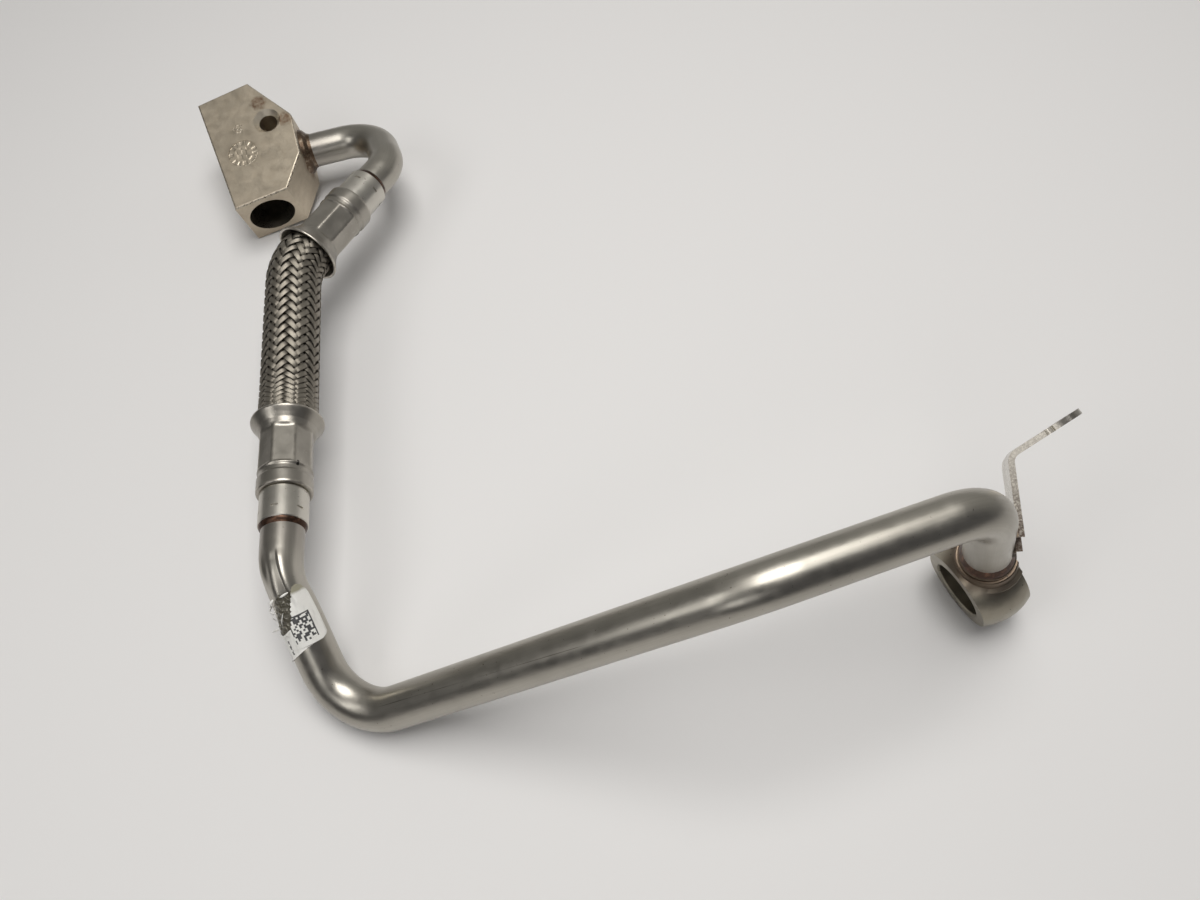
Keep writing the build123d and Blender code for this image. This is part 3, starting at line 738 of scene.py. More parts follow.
def drawn_tube(name, brazed_at, scratched):
    """Drawn tube: streaks along it, pits, a heat tint by its braze, and one long scratch where asked."""
    mat, shader, place, uv = start_finish(name)
    colour = blended(mat, place, TUBE_TINT, vary=0.07, scale=30.0)
    streak = noise(mat, uv, 1.0, 3.0, 0.6, stretch=(35.0, 1400.0, 1.0))
    colour = mix_colour(mat, spread(mat, streak, 0.35, 0.75, 0.0, 0.30), colour, TUBE_STREAK)
    heat = near(mat, place, brazed_at, radius=0.007, fade=0.012, ragged=0.004, grain=150.0)
    colour = laid_over(mat, colour, heat, 0.55, TUBE_HEAT)
    pits = spread(mat, noise(mat, place, 1000.0, 2.0), 0.715, 0.75)
    colour = laid_over(mat, colour, pits, 0.7, TUBE_PIT)
    if scratched:
        colour = laid_over(mat, colour, long_scratch(mat, uv), 0.6, SCRATCH_TINT)
    link(mat, colour, shader.inputs["Base Color"])
    grain = noise(mat, place, 1000.0, 5.0, 0.65)
    height = combine(mat, "ADD", grain, combine(mat, "MULTIPLY", streak, 0.5))
    roughened(mat, shader, place, height, strength=0.05, rough=0.33)
    return mat


def pressed_shell_finish():
    """Pressed shell: brushed patches, light scuffs, rubbed edges from the shade on its points, and painted
    shade for a small slit.
    """
    mat, shader, place, _ = start_finish("pressed_shell_steel")
    colour = blended(mat, place, SHELL_TINT, vary=0.12, scale=90.0)
    scuffs = noise(mat, place, 1.0, 4.0, 0.7, stretch=(900.0, 260.0, 500.0))
    scuffs = combine(mat, "MULTIPLY", spread(mat, scuffs, 0.60, 0.72), 0.35)
    patches = spread(mat, noise(mat, place, 500.0, 3.0), 0.3, 0.6)
    rubbed = combine(mat, "MULTIPLY", shade_value(mat), patches)
    colour = mix_colour(mat, combine(mat, "MAXIMUM", scuffs, rubbed), colour, SHELL_RUBBED)
    # Dark spots painted as the shade inside a small slit that is not cut
    for point in SLIT_AT:
        slit_shade = near(mat, place, point, radius=0.00045, fade=0.0003)
        colour = laid_over(mat, colour, slit_shade, 0.9, SLIT_SHADE_TINT)
    link(mat, colour, shader.inputs["Base Color"])
    roughened(mat, shader, place, noise(mat, place, 800.0, 5.0, 0.65), strength=0.10, rough=0.33)
    return mat


def rubbed_rounds(mat, place, colour, rim):
    """Pale edge rounds with dark specks, but none on the clean cone of the bolt hole."""
    colour = laid_over(mat, colour, rim, 0.75, BLOCK_RIM)
    bits = spread(mat, noise(mat, place, 1300.0, 3.0, 0.7), 0.53, 0.60)
    cone = near(mat, place, BOLT_MOUTH_AT, radius=0.0085, fade=0.0010)
    bits = combine(mat, "MULTIPLY", bits, combine(mat, "SUBTRACT", 1.0, cone))
    return laid_over(mat, colour, rim, bits, BLOCK_SPECK)


def cast_block_finish():
    """Cast block: warm grey skin, rubbed edge rounds, rust, a scald by the hook tube, and painted shade
    inside the port's bore.
    """
    mat, shader, place, _ = start_finish("cast_block_steel")
    colour = blended(mat, place, BLOCK_TINT, vary=0.10, scale=60.0)
    cloud = spread(mat, noise(mat, place, 260.0, 5.0, 0.7), 0.42, 0.62)
    colour = laid_over(mat, colour, cloud, 0.32, BLOCK_CLOUD)
    not_flat = combine(mat, "SUBTRACT", 1.0, facing(mat, block_up, 0.90, 0.985))
    rim = combine(mat, "MULTIPLY", facing(mat, block_up, 0.10, 0.35), not_flat)
    colour = rubbed_rounds(mat, place, colour, rim)
    for spot, size in zip(RUST_AT, RUST_R):
        centre = block_point(*spot, 0.0) * MM
        stain = near(mat, place, centre, size, fade=0.0018, ragged=0.0036, grain=380.0)
        grain = spread(mat, noise(mat, place, 620.0, 4.0), 0.30, 0.62, 0.25, 0.9)
        colour = laid_over(mat, colour, stain, grain, BLOCK_RUST)
    scald = near(mat, place, hook_block_end * MM, radius=0.0088, fade=0.0045, ragged=0.006, grain=200.0)
    colour = laid_over(mat, colour, scald, 0.8, BLOCK_SCALD)
    # Painted shade inside the port's bore: darker within its radius, past a depth along its way
    reached = spread(mat, along(mat, place, PORT_WAY, PORT_AT), *PORT_SHADE_FADE)
    bore_shade = combine(mat, "MULTIPLY", beside(mat, place, PORT_AT, PORT_WAY, PORT_R), reached)
    colour = laid_over(mat, colour, bore_shade, 0.65, PORT_BORE_SHADE)
    link(mat, colour, shader.inputs["Base Color"])
    height = combine(mat, "ADD", noise(mat, place, 650.0, 6.0, 0.7), noise(mat, place, 190.0, 2.0))
    roughened(mat, shader, place, height, strength=0.30, rough=0.43, distance=0.00018)
    return mat


def forged_eye_finish():
    """Forged eye: dull grey-brown skin with pits and a brown cast close to the braze."""
    mat, shader, place, _ = start_finish("forged_eye_steel")
    colour = blended(mat, place, EYE_TINT, vary=0.12, scale=120.0)
    scald = near(mat, place, pipe_eye_end * MM, radius=0.012, fade=0.007, ragged=0.004, grain=260.0)
    colour = laid_over(mat, colour, scald, 0.75, EYE_SCALD)
    pits = spread(mat, noise(mat, place, 700.0, 2.0), 0.70, 0.74)
    colour = mix_colour(mat, pits, colour, EYE_PIT)
    link(mat, colour, shader.inputs["Base Color"])
    roughened(mat, shader, place, noise(mat, place, 500.0, 5.0, 0.7), strength=0.28, rough=0.36)
    return mat


def strip_finish():
    """Bracket strip: bright faces, sheared edges with a speckle that grows toward the foot, and painted
    shade on the edge round its eye.
    """
    mat, shader, place, _ = start_finish("bracket_strip_steel")
    colour = blended(mat, place, STRIP_TINT, vary=0.10, scale=160.0)
    one_edge = facing(mat, strip_across, 0.6, 0.9)
    edge = combine(mat, "MAXIMUM", one_edge, facing(mat, -strip_across, 0.6, 0.9))
    bits = spread(mat, noise(mat, place, 1500.0, 3.0, 0.8), 0.42, 0.50)
    speckle = mix_colour(mat, bits, STRIP_PALE_BIT, STRIP_BROWN_BIT)
    height = along(mat, place, (0.0, 0.0, 1.0), (0.0, 0.0, 0.0))
    speckled = spread(mat, height, 0.060, 0.070, 1.0, 0.30)
    colour = mix_colour(mat, edge, colour, STRIP_EDGE)
    colour = laid_over(mat, colour, edge, speckled, speckle)
    # Painted shade on the rounded edge of the eye
    eye_edge_shade = near(mat, place, STRIP_EYE_AT, radius=0.0062, fade=0.0008, ragged=0.0006, grain=500.0)
    colour = laid_over(mat, colour, combine(mat, "MULTIPLY", eye_edge_shade, edge), 0.85, STRIP_EYE_SHADE)
    foot_at = pipe_eye_end * MM + foot_shift
    foot = near(mat, place, foot_at, radius=0.008, fade=0.005, ragged=0.004, grain=300.0)
    colour = laid_over(mat, colour, foot, 0.7, STRIP_FOOT)
    link(mat, colour, shader.inputs["Base Color"])
    dull_edge = combine(mat, "SUBTRACT", 1.0, combine(mat, "MULTIPLY", edge, 0.6))
    link(mat, dull_edge, shader.inputs["Metallic"])
    roughened(mat, shader, place, noise(mat, place, 900.0, 5.0, 0.7), strength=0.25, rough=0.27)
    return mat


def braze_finish(name, skin, bright):
    """Tarnished braze: dark skin with a few brighter spots."""
    mat, shader, place, _ = start_finish(name)
    spots = spread(mat, noise(mat, place, 520.0, 4.0, 0.6), 0.50, 0.72)
    link(mat, mix_colour(mat, spots, skin, bright), shader.inputs["Base Color"])
    grain = noise(mat, place, 900.0, 5.0, 0.7)
    roughened(mat, shader, place, grain, strength=0.5, rough=0.36, distance=0.0002)
    return mat


def braid_finish(name, dip, crown):
    """Flat wire: from painted shade in the dips to a painted highlight on the crowns, by the shade on its
    points and a drift.
    """
    mat, shader, place, _ = start_finish(name)
    drift = combine(mat, "MULTIPLY", noise(mat, place, 330.0, 3.0), 0.24)
    shade = combine(mat, "ADD", shade_value(mat), drift)
    link(mat, mix_colour(mat, spread(mat, shade, 0.15, 1.05), dip, crown), shader.inputs["Base Color"])
    roughened(mat, shader, place, noise(mat, place, 1500.0, 3.0), strength=0.10, rough=0.44)
    return mat


def rubber_finish():
    """Matt black rubber with a fine grain."""
    mat, shader, place, _ = start_finish("hose_liner_rubber", metallic=0.0)
    link(mat, blended(mat, place, RUBBER_TINT, vary=0.2), shader.inputs["Base Color"])
    roughened(mat, shader, place, noise(mat, place, 800.0, 4.0), strength=0.2, rough=0.6)
    return mat


def cell_number(mat, value, start):
    """Which cell a value falls in, counted from a start: floor((value - start) / CELL)."""
    off = combine(mat, "SUBTRACT", value, start)
    return combine(mat, "FLOOR", combine(mat, "MULTIPLY", off, 1 / CELL), 0.0)


def printed(mat, run, over):
    """1 where ink lies: a square of random cells, and a row of plain strokes beside it.

    A cell is dark where white noise of its row and column is over a half. The lines at the square's low
    X and low Y are solid.
    """
    pair = add_node(mat, "ShaderNodeCombineXYZ")
    link(mat, cell_number(mat, run, SQUARE_X[0]), pair.inputs[0])
    link(mat, cell_number(mat, over, SQUARE_Y[0]), pair.inputs[1])
    cells = add_node(mat, "ShaderNodeTexWhiteNoise", noise_dimensions="3D")
    link(mat, pair.outputs[0], cells.inputs["Vector"])
    chance = cells.outputs["Value"]
    dark = combine(mat, "GREATER_THAN", chance, 0.5)
    dark = combine(mat, "MAXIMUM", dark, combine(mat, "LESS_THAN", run, SQUARE_X[0] + SOLID_LINE))
    dark = combine(mat, "MAXIMUM", dark, combine(mat, "LESS_THAN", over, SQUARE_Y[0] + SOLID_LINE))
    square = combine(mat, "MULTIPLY", within(mat, run, *SQUARE_X), within(mat, over, *SQUARE_Y))
    strokes = combine(mat, "MULTIPLY", within(mat, run, *STROKES_X), within(mat, over, *STROKES_Y))
    strokes = combine(mat, "MULTIPLY", strokes, combine(mat, "GREATER_THAN", chance, 0.45))
    return combine(mat, "MAXIMUM", combine(mat, "MULTIPLY", square, dark), strokes)


def sticker_finish():
    """Printed film: white, tan and worn at its low end, with grey smears and the print."""
    mat, shader, place, uv = start_finish("sticker_film", metallic=0.0)
    run, over = axes(mat, uv)
    colour = blended(mat, place, FILM_TINT, vary=0.04, scale=200.0)
    smear = noise(mat, uv, 1.0, 4.0, 0.6, stretch=(170.0, 420.0, 1.0))
    colour = mix_colour(mat, spread(mat, smear, 0.52, 0.72, 0.0, 0.35), colour, FILM_SMEAR)
    edge = combine(mat, "ADD", run, combine(mat, "MULTIPLY", noise(mat, uv, 500.0, 3.0), 0.0012))
    colour = mix_colour(mat, spread(mat, edge, *AGED_EDGE, 1.0, 0.0), colour, FILM_AGED)
    colour = laid_over(mat, colour, printed(mat, run, over), 0.94, FILM_INK)
    link(mat, colour, shader.inputs["Base Color"])
    roughened(mat, shader, place, noise(mat, uv, 900.0, 3.0), strength=0.06, rough=0.36)
    return mat


def crumpled_finish():
    """Crumpled film and glue: dark olive with paler creases, by the shade on its points."""
    mat, shader, place, uv = start_finish("crumpled_film", metallic=0.0)
    streak = noise(mat, uv, 1.0, 4.0, 0.6, stretch=(260.0, 1500.0, 1.0))
    creased = combine(mat, "ADD", shade_value(mat), combine(mat, "MULTIPLY", streak, 1.3))
    colour = mix_colour(mat, spread(mat, creased, 0.98, 1.55), CRUMPLE_DARK, CRUMPLE_PALE)
    link(mat, colour, shader.inputs["Base Color"])
    roughened(mat, shader, place, noise(mat, place, 1200.0, 4.0), strength=0.5, rough=0.30)
    return mat


long_tube = drawn_tube("satin_long_tube", pipe_low_end * MM, scratched=True)
hook_tube = drawn_tube("satin_hook_tube", hook_block_end * MM, scratched=False)
collar_steel = metal("turned_collar_steel", COLLAR_TINT, rough=0.31, vary=0.10, bump=0.06)
shell_steel = pressed_shell_finish()
cast_steel = cast_block_finish()
forged_steel = forged_eye_finish()
strip_steel = strip_finish()
wire_steel = braid_finish("braid_wire_steel", WIRE_DIP_SHADE, WIRE_CROWN_HIGHLIGHT)
underlay_shade_metal = metal("braid_shade_underlay", UNDERLAY_SHADE_TINT, rough=0.55)
copper = braze_finish("copper_braze", *COPPER_TINTS)
seam = braze_finish("brown_seam", *SEAM_TINTS)
dark_braze = braze_finish("dark_braze_scale", *SCALE_TINTS)
rubber = rubber_finish()
film = sticker_finish()
crumple = crumpled_finish()


def finish_node(node, material):
    """Puts a finish on a CAD node's own mesh."""
    mesh = NODES[node].data
    mesh.materials.clear()
    mesh.materials.append(material)


for node, material in (
    ("terminal_block", cast_steel),
    ("block_braze", seam),
    ("hook_pipe", hook_tube),
    ("upper_tail_braze", copper),
    ("upper_tail", collar_steel),
    ("upper_ferrule", shell_steel),
    ("hose_braid", underlay_shade_metal),
    ("hose_liner", rubber),
    ("lower_ferrule", shell_steel),
    ("lower_tail", collar_steel),
    ("lower_tail_braze", copper),
    ("main_pipe", long_tube),
    ("part_label", film),
    ("banjo_fitting", forged_steel),
    ("banjo_braze", copper),
    ("pipe_bracket", strip_steel),
    ("bracket_braze", dark_braze),
):
    finish_node(node, material)


# Long pipe and hook pipe

def tube_piece(name, path, runs, columns, wall, bore, material):
    """A tube: rings of the outer wall along the path, then the bore's rings back, closed both ways."""
    inner = np.append(runs[:-1:3], runs[-1])
    rows = np.concatenate([runs, inner[::-1]])
    angle = np.radians(columns)
    radius = np.concatenate([
        wall(runs[:, None], angle[None, :]),
        np.full((len(inner), len(columns)), bore),
    ])
    verts = on_path(path, rows[:, None], angle[None, :], radius)
    obj = new_piece(name, verts, grid_faces(len(rows), len(columns), True, True), material)
    set_uv(obj, np.append(rows, rows[0]), np.append(angle, -np.pi) * PIPE_R)
    return obj


def plain_wall(s, angle):
    """The round radius PIPE_R everywhere."""
    return np.full(np.broadcast(s, angle).shape, PIPE_R)


def hollow(run, turn, at_run, at_turn, length, width):
    """A bell over the wall: exp(-(run off / length)^2 - (turn off / width)^2)."""
    return np.exp(-((run - at_run) / length) ** 2 - (wrapped(turn - at_turn) / width) ** 2)


def dented_wall(s, angle):
    """The wall's radius where the long pipe is crushed beside the sticker.

    The round radius less the bells of DENTS, less a step that falls off steeply and comes back slowly,
    and plus a crease exp(-(off / width)^2), wide on its right and narrow on its left, both along a
    slanting line.
    """
    run, turn = np.broadcast_arrays(s / MM, np.degrees(angle))
    dent = 0.0
    for depth, *bell in DENTS:
        dent = dent + depth * hollow(run, turn, *bell)
    crease = CREASE_START_TURN - CREASE_DRIFT_TURN * (run - CREASE_START_RUN) / CREASE_DRIFT_RUN
    window = smooth(run, *CREASE_GROWS) * (1 - smooth(run, *CREASE_FADES))
    off = wrapped(turn - crease)
    dent = dent + STEP_DEPTH * window * smooth(off, *STEP_DOWN) * (1 - smooth(off, *STEP_BACK))
    width = np.where(off < 0, CREASE_RIGHT_W, CREASE_LEFT_W)
    dent = dent - CREASE_H * window * np.exp(-(off / width) ** 2)
    return PIPE_R - dent * MM


pipe_path = rounded_path(
    [pipe_low_end + lower_axis * SOCKET_DEPTH, *PIPE_CORNERS[1:-1], pipe_eye_end + neck_axis * PIPE_SEAT],
    PIPE_RADII, PIPE_STEP)
hook_path = rounded_path(
    [hook_block_end - hook_axis * HOOK_SEAT, *HOOK_CORNERS[1:], upper_end - upper_axis * SOCKET_DEPTH],
    HOOK_RADII, PIPE_STEP)
pipe_len = pipe_path[3][-1]
pipe_runs = np.concatenate([
    np.arange(0.0, DENTED[0], PLAIN_STEP) * MM,
    np.arange(DENTED[0], DENTED[1], DENTED_STEP) * MM,
    np.linspace(DENTED[1] * MM, pipe_len, int((pipe_len / MM - DENTED[1]) / PLAIN_STEP)),
])

long_pipe = tube_piece(
    "long_pipe_skin", pipe_path, pipe_runs, FINE_COLUMNS, dented_wall, PIPE_BORE_R, long_tube)
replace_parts(long_pipe, "main_pipe")
hook_skin = tube_piece(
    "hook_pipe_skin", hook_path, hook_path[3], EVEN_COLUMNS, plain_wall, PIPE_BORE_R, hook_tube)
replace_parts(hook_skin, "hook_pipe")


# Sticker and the crumpled film beside it

def wrapped_film(name, runs, right, left, columns, lift, material):
    """A film on the tube: rows from its right edge to its left edge on top, then back underneath.

    The height over the wall is FILM_T plus a lift that is a function of run, turn and the share across, and
    both are 0 on the first and last rows, which close to an edge.
    """
    share = np.linspace(0.0, 1.0, columns)
    turn = left[:, None] * share + right[:, None] * (1 - share)
    open_rows = np.ones((len(runs), 1))
    open_rows[[0, -1]] = 0.0
    top = lift(runs[:, None], turn, share[None, :]) * open_rows
    turn = np.concatenate([turn, turn[:, ::-1]], axis=1)
    height = np.concatenate([top + FILM_GAP + FILM_T * open_rows, top[:, ::-1] + FILM_GAP], axis=1)
    run = np.broadcast_to(runs[:, None], turn.shape)
    radius = dented_wall(run * MM, np.radians(turn)) + height * MM
    verts = on_path(pipe_path, run * MM, np.radians(turn), radius)
    faces = grid_faces(len(runs), turn.shape[1], False, True)
    obj = new_piece(name, verts, faces[:, ::-1], material)
    set_point_uv(obj, np.stack([run * MM, np.radians(turn) * PIPE_R], -1))
    set_shade(obj, np.clip(height, 0, 1.2))
    weld(obj)
    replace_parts(obj, "part_label")


def label_lift(run, turn, share):
    """A curl CURL_H exp(-(off the right edge / CURL_W)^2) that grows along the run, and a slight rise."""
    edge = np.interp(run, *LABEL_RIGHT)
    off = np.radians(turn - edge) * PIPE_R / MM
    return CURL_H * np.exp(-(off / CURL_W) ** 2) * smooth(run, *CURL_GROWS) + LABEL_RISE * share


def ridge(wave):
    """One less |sin|: sharp crests with round valleys between."""
    return 1 - np.abs(np.sin(wave))


def crumple_lift(run, turn, share):
    """Three crossing rows of ridges, the first raised by the second; flat on the right, low on the left."""
    over = np.radians(turn) * PIPE_R / MM
    waves = [along_run * run + round_it * over for along_run, round_it in CRUMPLE_WAVES]
    (first_sway, first_rate), (second_sway, second_rate) = CRUMPLE_SWAYS
    first = ridge(waves[0] + first_sway * np.sin(first_rate * over))
    second = ridge(waves[1] + second_sway * np.sin(second_rate * run))
    third = ridge(waves[2])
    fade = smooth(share, 0.0, 0.12) * (1 - smooth(share, 0.88, 1.0) * 0.6)
    first_height = FIRST_CREASE_H * first ** 3 * (0.3 + second)
    return (CRUMPLE_LOW + first_height + THIRD_CREASE_H * third ** 2) * fade


def ragged(edge, run, waves):
    """An edge pushed about by waves: edge + size sin(run rate + start) for each."""
    for size, rate, start in waves:
        edge = edge + size * np.sin(run * rate + start)
    return edge


label_runs = np.linspace(*LABEL_ENDS, LABEL_ROWS)
torn = ragged(0.0, label_runs, LABEL_TEAR)
torn = torn * smooth(label_runs, *TEAR_GROWS) * (1 - smooth(label_runs, *TEAR_FADES))
label_left = np.interp(label_runs, *LABEL_LEFT) + torn
label_right = np.interp(label_runs, *LABEL_RIGHT)
wrapped_film("sticker", label_runs, label_right, label_left, LABEL_COLUMNS, label_lift, film)

film_runs = np.linspace(*CRUMPLE_ENDS, CRUMPLE_ROWS)
film_right = np.interp(film_runs, *LABEL_LEFT) - CRUMPLE_UNDER
film_left = ragged(np.interp(film_runs, *CRUMPLE_LEFT), film_runs, CRUMPLE_TEAR)
film_left = np.maximum(film_left, film_right + 1.0)
wrapped_film(
    "crumpled_film", film_runs, film_right, film_left, CRUMPLE_COLUMNS, crumple_lift, crumple)


def torn_shreds():
    """Narrow strips over the torn edge: straight lines in run and turn, bowed up by lift x sin(pi t)."""
    t = np.linspace(0.0, 1.0, SHRED_STEPS)
    rows = np.array(SHREDS)[:, :, None]
    run = rows[:, 0] * (1 - t) + rows[:, 2] * t
    turn = rows[:, 1] * (1 - t) + rows[:, 3] * t
    taper = 0.25 + 0.75 * np.sin(np.pi * np.clip(t * 1.1, 0, 1)) ** 0.6
    half = rows[:, 4] * taper / 2
    across = np.stack([half, half, -half, -half], -1)
    bow = SHRED_CLEAR + rows[:, 5] * np.sin(np.pi * t)
    height = bow[:, :, None] + np.array([0.0, SHRED_T, SHRED_T, 0.0])
    run = run[:, :, None] + across
    turn = np.broadcast_to(turn[:, :, None], run.shape)
    radius = dented_wall(run * MM, np.radians(turn)) + height * MM
    verts = on_path(pipe_path, run * MM, np.radians(turn), radius)
    size = 4 * SHRED_STEPS
    caps = np.array([(3, 2, 1, 0), (size - 4, size - 3, size - 2, size - 1)])
    block = np.concatenate([grid_faces(SHRED_STEPS, 4, False, True), caps])
    faces = np.concatenate([block + n * size for n in range(len(SHREDS))])
    obj = new_piece("torn_shreds", verts, faces, film)
    set_point_uv(obj, np.broadcast_to(PLAIN_SPOT, run.shape + (2,)))
    form = bmesh.new()
    form.from_mesh(obj.data)
    bmesh.ops.recalc_face_normals(form, faces=form.faces)
    form.to_mesh(obj.data)
    form.free()
    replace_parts(obj, "part_label")


torn_shreds()


# Crimped shells

def revolved(name, origin, axis, run, radius, columns, material):
    """A closed profile carried round an axis: origin + axis run + radius (cos a up + sin a side), in mm."""
    angle = np.radians(columns)[None, :, None]
    up = unit(np.array([0.0, 0.0, 1.0]) - axis * axis[2])
    side = np.cross(axis, up)
    out = up * np.cos(angle) + side * np.sin(angle)
    verts = origin + axis * run[:, None, None] + radius[:, :, None] * out
    faces = grid_faces(len(run), len(columns), True, True)
    return new_piece(name, verts * MM, faces, material)


def shell_profile():
    """Run and radius of a round shell: rolled lip, flare, body, groove, far end, and back by the bore."""
    return dense((
        (0.25, LIP_R - 1.0),
        (0.05, LIP_R - 0.7),
        (0.0, LIP_R - 0.4),
        (0.15, LIP_R - 0.1),
        (0.5, LIP_R),
        (1.0, LIP_R - 0.1),
        (1.6, LIP_R - 0.5),
        (3.0, SHELL_R + 2.2),
        (4.6, SHELL_R + 1.15),
        (6.4, SHELL_R + 0.35),
        (8.0, SHELL_R),
        (CRIMP_END, SHELL_R),
        (CRIMP_END + 0.9, SHELL_R - GROOVE_DEPTH),
        (GROOVE_END - 0.2, SHELL_R - GROOVE_DEPTH),
        (GROOVE_END + 0.5, SHELL_R),
        (SHELL_LEN - 0.9, SHELL_R),
        (SHELL_LEN - 0.25, SHELL_R - 0.2),
        (SHELL_LEN, SHELL_R - 0.7),
        (SHELL_LEN, STEM_HOLE_R),
        (SHELL_LEN - STEM_WALL, STEM_HOLE_R),
        (SHELL_LEN - STEM_WALL, SHELL_BORE_R),
        (6.8, SHELL_BORE_R),
        (1.7, LIP_R - 1.7),
    ), PROFILE_STEP)


def soft_minimum(first, second, blend):
    """-blend log(exp(-first / blend) + exp(-second / blend)), worked out from the lower of the two."""
    low = np.minimum(first, second)
    return low - blend * np.log(np.exp((low - first) / blend) + np.exp((low - second) / blend))


def crimped_shell(name, node, lip, axis, twist):
    """Flared shell with flats pressed in by the crimping jaws.

    Between CRIMP_FROM and CRIMP_END the round radius gives way to the soft minimum of itself and the
    flats, half across / cos(turn off the flat's middle). The waist dishes each flat by FLAT_WAIST.
    """
    profile = shell_profile()
    run, circle = profile[:, 0], profile[:, 1]
    pitch = 360.0 / FLATS
    off = wrapped(SHELL_COLUMNS - twist - pitch / 2, pitch)
    flat = ACROSS_FLATS / 2 / np.cos(np.radians(off))
    pressed = soft_minimum(circle[:, None], flat[None, :], FLAT_BLEND)
    outside = circle > SHELL_BORE_R + 0.3
    share = smooth(run, CRIMP_FROM - 1.0, CRIMP_FROM + 0.8)
    share = share * (1 - smooth(run, CRIMP_END - 0.9, CRIMP_END + 0.3)) * outside
    along_flat = np.clip((run - CRIMP_FROM) / (CRIMP_END - CRIMP_FROM), 0, 1)
    waist = FLAT_WAIST * np.sin(np.pi * along_flat) * share
    radius = circle[:, None] * (1 - share[:, None]) + pressed * share[:, None]
    radius = radius - waist[:, None] * np.cos(np.radians(off * 4))[None, :]
    shell = revolved(name, lip, axis, run, radius, SHELL_COLUMNS, shell_steel)
    corner = np.exp(-((np.abs(off) - pitch / 2) / CORNER_RUB_W) ** 2)[None, :] * share[:, None] * CORNER_RUB
    rim = (np.exp(-((run - RIM_RUB_AT) / RIM_RUB_W) ** 2) * outside)[:, None]
    end = (np.exp(-((run - SHELL_LEN + END_RUB_BACK) / END_RUB_W) ** 2) * outside)[:, None] * END_RUB
    set_shade(shell, np.clip(corner + rim + end, 0, 1))
    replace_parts(shell, node)


crimped_shell("lower_shell", "lower_ferrule", lower_lip, -lower_axis, LOWER_TWIST)
crimped_shell("upper_shell", "upper_ferrule", upper_lip, upper_axis, UPPER_TWIST)


# Cast mark and rough spot on the block's upper face

def soft_step(wave, hardness):
    """0 to 1 by the sign of a wave, softened: half of 1 + tanh(hardness x wave)."""
    return 0.5 + 0.5 * np.tanh(hardness * wave)


def badge_height(x, y):
    """The round mark: a ring of plain bars and a few lobes within it, cut BADGE_CUT into the face.

    The bars are mixed sines of the turn, so they differ in width. Past the ring the height is well under
    the face, inside the casting.
    """
    dx, dy = x - BADGE_AT[0], y - BADGE_AT[1]
    ring = np.hypot(dx, dy) / BADGE_R
    turn = np.arctan2(dy, dx)
    bars = soft_step(np.sin(11 * turn + 1.4 * np.sin(3 * turn)) + 0.5 * np.sin(17 * turn + 2), hardness=3.5)
    cut = np.exp(-((ring - 0.81) / 0.16) ** 6) * bars
    lobes = soft_step(np.sin(1.9 * dx + 0.8 * dy) + 0.8 * np.cos(1.3 * dy - 0.9 * dx), hardness=4)
    cut = np.maximum(cut, np.exp(-(ring / 0.46) ** 6) * lobes)
    return np.where(ring < 0.985, -BADGE_DROP - BADGE_CUT * cut, -HIDDEN_DROP)


def spot_height(x, y):
    """The rough spot: lumps of crossing sines up to SPOT_H, sunk under the face at the spot's edge."""
    off = np.hypot(x - SPOT_AT[0], y - SPOT_AT[1]) / SPOT_R
    rough = np.sin(2.1 * x + 0.9 * y) * np.sin(1.7 * y - 0.8 * x) + 0.4 * np.sin(4.3 * x) * np.sin(3.7 * y)
    return SPOT_H * smooth(rough, -0.2, 0.6) - SPOT_DROP - SPOT_EDGE_DROP * smooth(off, 0.70, 1.0)


def cast_marks():
    """A slab over both marks: the higher of the two heights above, MARKS_UNDERSIDE under the face below."""
    x = np.linspace(BADGE_AT[0] - BADGE_REACH, BADGE_AT[0] + BADGE_REACH, MARKS_ROWS)[:, None]
    y = np.linspace(BADGE_AT[1] - BADGE_REACH, SPOT_AT[1] + SPOT_REACH, MARKS_COLUMNS)[None, :]
    x, y = np.broadcast_arrays(x, y)
    height = np.maximum(badge_height(x, y), spot_height(x, y))
    rows, columns = height.shape
    top = block_point(x, y, height)
    under = block_point(x, y, np.full(height.shape, -MARKS_UNDERSIDE))
    verts = np.concatenate([top.reshape(-1, 3), under.reshape(-1, 3)]) * MM
    flat = grid_faces(rows, columns, False, False)
    index = np.arange(rows * columns).reshape(rows, columns)
    edge = np.concatenate([index[0, :-1], index[:-1, -1], index[-1, :0:-1], index[:0:-1, 0]])
    edge_next = np.roll(edge, -1)
    size = rows * columns
    walls = np.stack([edge_next, edge, edge + size, edge_next + size], -1)
    faces = np.concatenate([flat, flat[:, ::-1] + size, walls[:, ::-1]])
    new_piece("cast_marks", verts, faces, cast_steel)


cast_marks()


# Braided cover of the hose

hose_path = rounded_path(
    [lower_lip - lower_axis * BRAID_MOUTH, lower_lip + lower_axis * HOSE_LOWER_STRAIGHT,
     upper_lip - upper_axis * HOSE_UPPER_STRAIGHT, upper_lip + upper_axis * BRAID_MOUTH],
    HOSE_RADII, HOSE_STEP)
hose_len = hose_path[3][-1]


def braid_turn(s):
    """How far round a carrier is at a run s: the sum of 1 / pitch, which is smallest at the lower end."""
    fine = np.linspace(0.0, hose_len, 1000)
    pitch = PITCH_LOW + (1 - PITCH_LOW) * smooth(fine / MM, *PITCH_GROWS)
    total = np.concatenate([[0.0], np.cumsum(1 / pitch[1:])])
    return np.interp(s, fine, total / total[-1]) * ROWS * 2 * np.pi / CARRIERS


